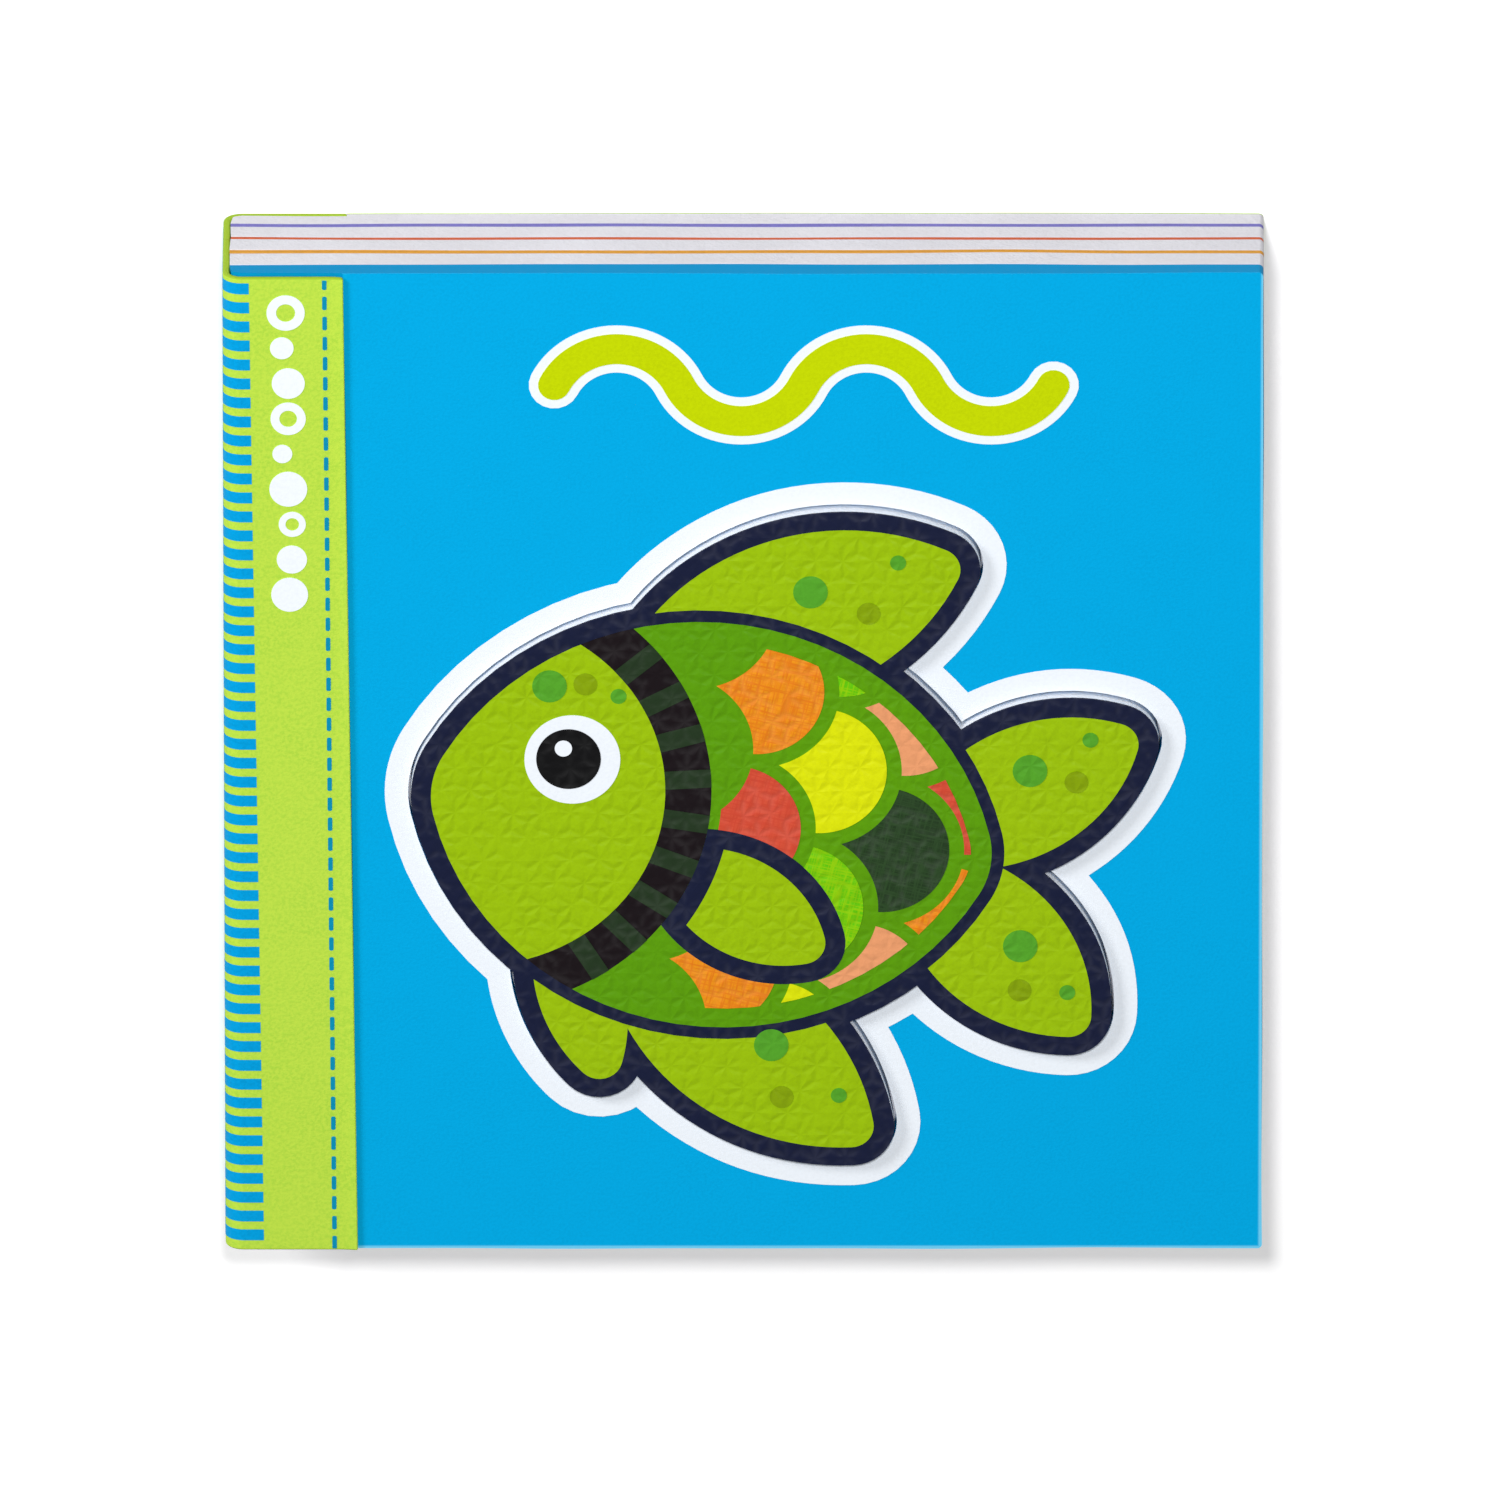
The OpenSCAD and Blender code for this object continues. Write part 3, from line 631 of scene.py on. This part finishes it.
def bevel(mesh, edges, width):
    """Rounds edges to a width."""
    bmesh.ops.bevel(mesh, geom=edges, offset=width, offset_type="OFFSET", segments=ROUND_STEPS,
                    profile=0.5, affect="EDGES", clamp_overlap=True)


def round_rims(mesh, width):
    """Rounds the edges between a layer's level faces and its walls."""
    rims = []
    for edge in mesh.edges:
        if len(edge.link_faces) != 2 or not edge.is_convex:
            continue
        level = [abs(face.normal.z) > LEVEL_FACE for face in edge.link_faces]
        if level[0] != level[1]:
            rims.append(edge)
    bevel(mesh, rims, width)


def cut_every(mesh, step):
    """Cuts a layer along a square grid, so that its walls can wander."""
    for axis in (0, 1):
        places = [vert.co[axis] for vert in mesh.verts]
        normal = Vector((1 - axis, axis, 0))
        count = int((max(places) - min(places)) / step)
        for index in range(1, count):
            cut_along(mesh, normal * (min(places) + index * step), normal)


def sway_walls(mesh, reach):
    """Moves points sideways by a slow noise that all layers share."""
    for vert in mesh.verts:
        spot = Vector([part * waves for part, waves in zip(vert.co, SWAY_WAVES)])
        vert.co.x += reach * noise.noise(spot)
        vert.co.y += reach * noise.noise(spot + SWAY_OTHER)


def shade_smooth(data):
    """Smooth faces that part at the sharp edges."""
    data.polygons.foreach_set("use_smooth", [True] * len(data.polygons))
    data.set_sharp_from_angle(angle=SHARP_ANGLE)


def to_piece(mesh, name, material):
    """Makes a finished mesh an object with smooth faces and weighted normals."""
    data = bpy.data.meshes.new(name)
    mesh.to_mesh(data)
    mesh.free()
    data.materials.append(material)
    shade_smooth(data)
    piece = add_object(name, data)
    normals = piece.modifiers.new("flat faces stay flat", "WEIGHTED_NORMAL")
    normals.keep_sharp = True
    return piece


def draw_in(mesh, depth, room):
    """Moves a layer's upright walls inwards, inside a box."""
    low, high = room
    mesh.normal_update()
    moves = []
    for vert in mesh.verts:
        walls = [face.normal for face in vert.link_faces if abs(face.normal.z) < UPRIGHT_FACE]
        if walls and low.x < vert.co.x < high.x and low.y < vert.co.y < high.y:
            outward = sum(walls, Vector()).normalized()
            moves.append((vert, Vector((outward.x, outward.y, 0)) * depth))
    for vert, step in moves:
        vert.co -= step


def ease_corners(mesh):
    """Rounds a board's spine side to fit the inside of the strip that is wrapped round it."""
    size = sizes()
    middle_x = STRIP_LOW.x + size.strip_radius
    radius = size.strip_radius - size.strip_thickness
    cut_along(mesh, Vector((middle_x, 0, 0)), Vector((1, 0, 0)))
    for vert in mesh.verts:
        middle_z = STRIP_LOW.z + size.strip_radius
        beyond = middle_z - vert.co.z
        if vert.co.z > MID_PAGES:
            middle_z = STRIP_HIGH.z - size.strip_radius
            beyond = vert.co.z - middle_z
        if vert.co.x > middle_x - SAME_POINT or beyond < 0:
            continue
        arm = Vector((vert.co.x - middle_x, 0, vert.co.z - middle_z))
        if arm.length > radius:
            arm *= radius / arm.length
            vert.co.x = middle_x + arm.x
            vert.co.z = middle_z + arm.z


def soft_layer(node, name, body, material, edge, opening=False,
               wrapped=False):
    """A foam layer or sheet with rounded rims and gently wandering walls, for a CAD node."""
    mesh = merged_copy(node)
    if opening:
        draw_in(mesh, sizes().kerf, OPENING_ROOM)
    if wrapped:
        ease_corners(mesh)
    round_rims(mesh, edge)
    cut_every(mesh, WALL_STEP)
    sway_walls(mesh, sizes().sway)
    piece = to_piece(mesh, name, material)
    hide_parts(node)
    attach(piece, body)


def repaint(node, material):
    """Gives a CAD node that stays its own material."""
    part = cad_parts[node]
    for index in range(len(part.material_slots)):
        part.material_slots[index].material = material


def skew_at(y):
    """How much further the flap reaches at this height of the book."""
    return sizes().flap_skew * (BOOK_TOP - y) / (2 * BOOK_TOP)


def strip_path(inset, lower, reach, lift=0):
    """Half of the strip's section, from its flap's end to mid page block, as X and Z."""
    size = sizes()
    radius = size.strip_radius - inset
    middle_x = STRIP_LOW.x + size.strip_radius
    wall_x = STRIP_LOW.x + inset
    if lower:
        flat_z, middle_z, sign = STRIP_LOW.z + inset, STRIP_LOW.z + size.strip_radius, -1
    else:
        flat_z, middle_z, sign = STRIP_HIGH.z - inset, STRIP_HIGH.z - size.strip_radius, 1
    points = []
    for index in range(FLAT_STEPS):
        x = reach + (middle_x - reach) * index / FLAT_STEPS
        lifted = max(0, 1 - (reach - x) / size.lift_reach)
        points.append(Vector((x, 0, flat_z + lift * lifted ** 2)))
    for index in range(ARC_STEPS):
        angle = math.pi / 2 * (1 + index / ARC_STEPS)
        points.append(Vector((middle_x + radius * math.cos(angle), 0,
                              middle_z + sign * radius * math.sin(angle))))
    for index in range(WALL_STEPS + 1):
        share = index / WALL_STEPS
        points.append(Vector((wall_x, 0, middle_z + (MID_PAGES - middle_z) * share)))
    return points


def sheet_between(outer, inner, rows, slant):
    """A closed shell between two equal paths, repeated along Y, with its flap slanted."""
    mesh = bmesh.new()
    columns = []
    count = len(outer)
    bend_x = STRIP_LOW.x + sizes().strip_radius
    for y in rows:
        ring = []
        for path in (outer, inner):
            line = []
            for point in path:
                x = point.x
                if slant and x > bend_x:
                    share = (x - bend_x) / (outer[0].x - bend_x)
                    x += slant * skew_at(y) * min(share, 1)
                line.append(mesh.verts.new((x, y, point.z)))
            ring.append(line)
        columns.append(ring)
    for near, far in zip(columns, columns[1:]):
        for side in (0, 1):
            for index in range(count - 1):
                mesh.faces.new((near[side][index], near[side][index + 1],
                                far[side][index + 1], far[side][index]))
        for index in (0, count - 1):
            mesh.faces.new((near[0][index], near[1][index], far[1][index], far[0][index]))
    for end in (columns[0], columns[-1]):
        for index in range(count - 1):
            mesh.faces.new((end[0][index], end[0][index + 1],
                            end[1][index + 1], end[1][index]))
    bmesh.ops.recalc_face_normals(mesh, faces=mesh.faces)
    return mesh


def draw_back(mesh):
    """Draws the strip's top end back, more and more towards the flap."""
    for vert in mesh.verts:
        if vert.co.y > 0:
            share = (vert.co.z - STRIP_LOW.z) / (STRIP_HIGH.z - STRIP_LOW.z)
            vert.co.y *= 1 - sizes().strip_short * share / BOOK_TOP


def bend_at_fold(piece):
    """Bakes a piece of the strip's placement into its mesh."""
    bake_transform(piece)


def repeat_tree(name):
    """Geometry nodes that repeat a piece in a row and give it its material."""
    tree = bpy.data.node_groups.new(name, "GeometryNodeTree")
    for label, kind in (("Piece", "NodeSocketGeometry"), ("Count", "NodeSocketInt"),
                        ("Start", VECTOR), ("Step", VECTOR), ("Material", "NodeSocketMaterial")):
        tree.interface.new_socket(label, in_out="INPUT", socket_type=kind)
    tree.interface.new_socket("Row", in_out="OUTPUT", socket_type="NodeSocketGeometry")
    entry = tree.nodes.new("NodeGroupInput").outputs
    row = add_node(tree, "GeometryNodeMeshLine", "places", mode="OFFSET")
    feed(tree, row.inputs["Count"], entry["Count"])
    feed(tree, row.inputs["Start Location"], entry["Start"])
    feed(tree, row.inputs["Offset"], entry["Step"])
    copies = add_node(tree, "GeometryNodeInstanceOnPoints", "copies")
    feed(tree, copies.inputs["Points"], row.outputs[0])
    feed(tree, copies.inputs["Instance"], entry["Piece"])
    real = add_node(tree, "GeometryNodeRealizeInstances")
    feed(tree, real.inputs[0], copies.outputs[0])
    paint = add_node(tree, "GeometryNodeSetMaterial")
    feed(tree, paint.inputs["Geometry"], real.outputs[0])
    feed(tree, paint.inputs["Material"], entry["Material"])
    leave = tree.nodes.new("NodeGroupOutput")
    feed(tree, leave.inputs[0], paint.outputs[0])
    return tree


def repeated(mesh, name, count, start, step, material):
    """One piece of a row, made into a plain mesh of the whole row."""
    data = bpy.data.meshes.new(name + "_one")
    mesh.to_mesh(data)
    mesh.free()
    data.materials.append(material)
    holder = add_object(name + "_one", data)
    tree = bpy.data.node_groups.get("row of copies") or repeat_tree("row of copies")
    maker = holder.modifiers.new("row", "NODES")
    maker.node_group = tree
    given = {"Count": count, "Start": start, "Step": step, "Material": material}
    for socket in tree.interface.items_tree:
        if socket.in_out == "INPUT" and socket.name in given:
            maker[socket.identifier] = given[socket.name]
    bpy.context.view_layer.update()
    whole = bpy.data.meshes.new_from_object(holder.evaluated_get(
        bpy.context.evaluated_depsgraph_get()))
    holder.modifiers.clear()
    bpy.data.objects.remove(holder)
    whole.name = name
    piece = add_object(name, whole)
    if not len(whole.polygons):
        raise RuntimeError(f"{name} has no faces")
    return piece


# Operators

FINISHES = {}


def finish(name):
    """A material by its finish's name."""
    return FINISHES[name]


class FOAMBOOK_OT_finishes(bpy.types.Operator):
    """Builds the shared effects and every material"""
    bl_idname = "foam_book.finishes"
    bl_label = "Finishes"

    def execute(self, context):
        make_foam_cells()
        make_ink_mottle()
        make_star_emboss()
        make_linen_print()
        FINISHES.update(make_materials())
        return {"FINISHED"}


class FOAMBOOK_OT_back_cover(bpy.types.Operator):
    """Makes the back cover: its outer sheet, foam board and lining"""
    bl_idname = "foam_book.back_cover"
    bl_label = "Back cover"

    def execute(self, context):
        size = sizes()
        soft_layer("back_sheet", "back_cover_sheet", BACK,
                   finish("lime sheet"), size.sheet_round, wrapped=True)
        soft_layer("back_board", "back_cover_foam", BACK,
                   finish("white foam"), size.foam_round, wrapped=True)
        soft_layer("back_lining", "back_cover_lining", BACK,
                   finish("indigo sheet"), size.sheet_round)
        return {"FINISHED"}


class FOAMBOOK_OT_pages(bpy.types.Operator):
    """Makes the foam leaves and the printed sheets on them"""
    bl_idname = "foam_book.pages"
    bl_label = "Pages"

    def execute(self, context):
        size = sizes()
        soft_layer("page_block", "foam_leaves", PAGES,
                   finish("white foam"), size.foam_round)
        for node, slot in (("page_sheet_back", "indigo_sheet"),
                           ("page_sheet_middle", "red_sheet"),
                           ("page_sheet_front", "orange_sheet")):
            soft_layer(node, node + "_film", PAGES, finish(slot.replace("_", " ")),
                       size.sheet_round)
        return {"FINISHED"}


class FOAMBOOK_OT_front_cover(bpy.types.Operator):
    """Makes the front cover: lining, foam board, blue layer with its opening, and its prints"""
    bl_idname = "foam_book.front_cover"
    bl_label = "Front cover"

    def execute(self, context):
        size = sizes()
        soft_layer("front_lining", "front_cover_lining", FRONT,
                   finish("orange sheet"), size.sheet_round)
        soft_layer("front_board", "front_cover_foam", FRONT,
                   finish("white foam"), size.foam_round)
        soft_layer("cover_layer", "blue_cover_layer", FRONT,
                   finish("cover blue"), size.foam_round, opening=True, wrapped=True)
        soft_layer("popout_margin", "white_margin", FRONT,
                   finish("white print"), PRINT_ROUND, opening=True)
        repaint("wave_border", finish("white print"))
        repaint("wave_band", finish("wave lime"))
        repaint("strip_bubbles", finish("white print"))
        return {"FINISHED"}


class FOAMBOOK_OT_popout(bpy.types.Operator):
    """Makes the pop-out fish: its foam, its embossed film and the printed fields"""
    bl_idname = "foam_book.popout"
    bl_label = "Pop-out fish"

    def execute(self, context):
        size = sizes()
        soft_layer("popout_core", "popout_foam", FRONT,
                   finish("popout foam"), POPOUT_ROUND)
        soft_layer("popout_sheet", "popout_film", FRONT, finish("navy"),
                   size.film_round)
        for node, name in (
            ("fin_fields", "fin_lime"), ("gill_band", "band_brown"),
            ("gill_stripes", "stripe_green"), ("scale_bed", "bed_green"),
            ("scales_coral", "coral"), ("scales_peach", "peach"),
            ("scales_yellow", "yellow"), ("scales_orange", "orange"),
            ("scales_dark_green", "dark_green"), ("scales_bright_green", "bright_green"),
            ("side_fin_outline", "navy"), ("side_fin", "fin_lime"),
            ("spots_green", "spot_green"), ("spots_olive", "spot_olive"),
            ("eye_white", "white print"), ("eye_pupil", "pupil_black"),
            ("eye_glint", "white print"),
        ):
            repaint(node, finish(name))
        return {"FINISHED"}


class FOAMBOOK_OT_spine(bpy.types.Operator):
    """Makes the soft strip that wraps the spine, in two halves that meet at the middle of the
    page block
    """
    bl_idname = "foam_book.spine"
    bl_label = "Spine strip"

    def execute(self, context):
        size = sizes()
        rows = [BOOK_TOP * (2 * index / STRIP_ROWS - 1) for index in range(STRIP_ROWS + 1)]
        for lower in (True, False):
            reach = BACK_FLAP_END if lower else BARS_LOW.x + size.flap_width
            lift = 0 if lower else size.flap_lift
            outer = strip_path(0, lower, reach, lift)
            inner = strip_path(size.strip_thickness, lower, reach, lift)
            mesh = sheet_between(outer, inner, rows, 0 if lower else 1)
            draw_back(mesh)
            rims = [edge for edge in mesh.edges if len(edge.link_faces) == 2
                    and edge.calc_face_angle(0) > RIM_ANGLE
                    and abs(edge.verts[0].co.z - MID_PAGES) > NEAR_MIDDLE]
            bevel(mesh, rims, size.strip_round)
            name = "spine_strip_back" if lower else "spine_strip_front"
            piece = to_piece(mesh, name, finish("strip lime"))
            if lower:
                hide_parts("spine_wrap_back")
                bend_at_fold(piece)
            else:
                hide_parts("spine_wrap_front", "spine_wrap_middle")
                bend_at_fold(piece)
        return {"FINISHED"}


class FOAMBOOK_OT_bars(bpy.types.Operator):
    """Makes the printed bars that run round the spine"""
    bl_idname = "foam_book.bars"
    bl_label = "Spine bars"

    def execute(self, context):
        size = sizes()
        count = int((2 * BOOK_TOP - size.bar_height) / size.bar_pitch) + 1
        start = Vector((0, size.bar_shift - (count - 1) / 2 * size.bar_pitch, 0))
        step = Vector((0, size.bar_pitch, 0))
        half = size.bar_height / 2
        for lower in (True, False):
            over = size.bar_reach + (size.flap_skew / 2 if lower else 0)
            reach = BARS_LOW.x + over
            outer = strip_path(-size.bar_proud, lower, reach)
            inner = strip_path(INK_SUNK, lower, reach)
            mesh = sheet_between(outer, inner, [-half, half], 0)
            name = "spine_bars_back_print" if lower else "spine_bars_front_print"
            piece = repeated(mesh, name, count, start, step, finish("bar blue"))
            bend_x = STRIP_LOW.x + size.strip_radius
            if not lower:
                for vert in piece.data.vertices:
                    if vert.co.x > bend_x:
                        share = (vert.co.x - bend_x) / (reach - bend_x)
                        vert.co.x += skew_at(vert.co.y) * share
            shade_smooth(piece.data)
            if lower:
                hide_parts("spine_bars_back")
                bend_at_fold(piece)
            else:
                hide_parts("spine_bars_front", "spine_bars_middle")
                bend_at_fold(piece)
        return {"FINISHED"}


class FOAMBOOK_OT_dashes(bpy.types.Operator):
    """Makes the row of printed dashes along the flap"""
    bl_idname = "foam_book.dashes"
    bl_label = "Dashes"

    def execute(self, context):
        size = sizes()
        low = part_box("stitch_dashes")[0]
        count = int((2 * BOOK_TOP - size.dash_length) / size.dash_pitch) + 1
        first_y = -(count - 1) / 2 * size.dash_pitch
        slope = -size.dash_skew / (2 * BOOK_TOP)
        top_x = BARS_LOW.x + size.flap_width - size.dash_inset
        first_x = top_x + slope * (first_y - BOOK_TOP)
        mesh = bmesh.new()
        bmesh.ops.create_cube(mesh, size=1)
        scale = Vector((size.dash_width, size.dash_length, size.bar_proud))
        for vert in mesh.verts:
            vert.co = Vector((vert.co.x * scale.x, vert.co.y * scale.y, vert.co.z * scale.z))
        corners = [edge for edge in mesh.edges
                   if abs(edge.verts[0].co.z - edge.verts[1].co.z) > scale.z / 2]
        bevel(mesh, corners, size.dash_width * DASH_CORNER)
        start = Vector((first_x, first_y, low.z + scale.z / 2))
        step = Vector((slope * size.dash_pitch, size.dash_pitch, 0))
        piece = repeated(mesh, "dashes_print", count, start, step, finish("dash blue"))
        first = size.strip_round - BOOK_TOP
        last = BOOK_TOP - size.strip_short - size.strip_round
        for vert in piece.data.vertices:
            vert.co.y = min(max(vert.co.y, first), last)
        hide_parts("stitch_dashes")
        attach(piece, FRONT)
        return {"FINISHED"}


def lamp(name, direction, distance, width, power):
    """A round lamp that faces the book."""
    data = bpy.data.lights.new(name, "AREA")
    data.shape = "DISK"
    data.size = width
    data.energy = power
    light = add_object(name, data)
    aim = Vector(direction).normalized()
    light.location = aim * distance
    light.rotation_euler = aim.to_track_quat("Z", "Y").to_euler()


class FOAMBOOK_OT_stage(bpy.types.Operator):
    """Sets up the floor, the light and the camera"""
    bl_idname = "foam_book.stage"
    bl_label = "Stage"

    def execute(self, context):
        scene = context.scene
        size = sizes()
        data = bpy.data.meshes.new("floor")
        half = 6.0
        data.from_pydata([(-half, -half, 0), (half, -half, 0), (half, half, 0),
                          (-half, half, 0)], [], [(0, 1, 2, 3)])
        floor = add_object("floor", data)
        material = bpy.data.materials.new("pale floor")
        material.use_nodes = True
        tree = material.node_tree
        shader = tree.nodes["Principled BSDF"]
        shader.inputs["Base Color"].default_value = opaque(colours().floor_white)
        shader.inputs["Roughness"].default_value = 1.0
        shader.inputs["Specular IOR Level"].default_value = 0.0
        seen = add_node(tree, "ShaderNodeLightPath")
        shader.inputs["Emission Color"].default_value = (1, 1, 1, 1)
        lift = sum_up(tree, "MULTIPLY", seen.outputs["Is Camera Ray"], FLOOR_LIFT)
        feed(tree, shader.inputs["Emission Strength"], lift)
        data.materials.append(material)

        world = bpy.data.worlds.new("plain light")
        scene.world = world
        world.use_nodes = True
        sky = world.node_tree.nodes["Background"]
        sky.inputs["Color"].default_value = (1, 1, 1, 1)
        air = world.node_tree
        direct = add_node(air, "ShaderNodeLightPath").outputs["Is Camera Ray"]
        strength = sum_up(air, "MULTIPLY_ADD", direct, 1 - SKY_STRENGTH, SKY_STRENGTH)
        feed(air, sky.inputs["Strength"], strength)
        lamp("key", (-0.02, 0.42, 0.91), distance=1.3, width=0.14, power=9.2)
        lamp("low left", (-0.66, 0.5, 0.56), distance=2.0, width=0.7, power=17.6)

        view = bpy.data.cameras.new("photo view")
        camera = add_object("photo view", view)
        sensor = 36
        view.sensor_width = sensor
        view.lens = sensor * size.camera_distance / size.frame_width
        view.clip_end = 100
        tilt = size.view_tilt
        back = Vector((0, math.sin(tilt), math.cos(tilt)))
        up = Vector((0, math.cos(tilt), -math.sin(tilt)))
        middle = Vector((1.2 * MM, 0, 13.7 * MM))
        lowered = up * 3.2 * MM
        camera.location = middle - lowered + back * size.camera_distance
        camera.rotation_euler = (-tilt, 0, 0)
        scene.camera = camera
        scene.view_settings.view_transform = "Standard"
        return {"FINISHED"}


class FOAMBOOK_PT_sidebar(bpy.types.Panel):
    """Lists the book's pieces, sizes and colours"""
    bl_label = "Foam book"
    bl_idname = "FOAMBOOK_PT_sidebar"
    bl_space_type = "VIEW_3D"
    bl_region_type = "UI"
    bl_category = "Foam book"

    def draw(self, context):
        layout = self.layout
        for operator in OPERATORS:
            layout.operator(operator.bl_idname)
        for group in (context.scene.foam_book_sizes, context.scene.foam_book_colours):
            box = layout.box()
            for name in group.bl_rna.properties.keys():
                if name not in ("rna_type", "name"):
                    box.prop(group, name)


OPERATORS = (
    FOAMBOOK_OT_finishes,
    FOAMBOOK_OT_back_cover,
    FOAMBOOK_OT_pages,
    FOAMBOOK_OT_front_cover,
    FOAMBOOK_OT_popout,
    FOAMBOOK_OT_spine,
    FOAMBOOK_OT_bars,
    FOAMBOOK_OT_dashes,
    FOAMBOOK_OT_stage,
)
CLASSES = (FoamBookSizes, FoamBookColours) + OPERATORS + (FOAMBOOK_PT_sidebar,)


def register():
    for kind in CLASSES:
        bpy.utils.register_class(kind)
    bpy.types.Scene.foam_book_sizes = bpy.props.PointerProperty(type=FoamBookSizes)
    bpy.types.Scene.foam_book_colours = bpy.props.PointerProperty(type=FoamBookColours)


def unregister():
    del bpy.types.Scene.foam_book_colours
    del bpy.types.Scene.foam_book_sizes
    for kind in reversed(CLASSES):
        bpy.utils.unregister_class(kind)


def main():
    register()
    bpy.ops.foam_book.finishes()
    bpy.ops.foam_book.back_cover()
    bpy.ops.foam_book.pages()
    bpy.ops.foam_book.front_cover()
    bpy.ops.foam_book.popout()
    bpy.ops.foam_book.spine()
    bpy.ops.foam_book.bars()
    bpy.ops.foam_book.dashes()
    bpy.ops.foam_book.stage()


if __name__ == "__main__":
    main()
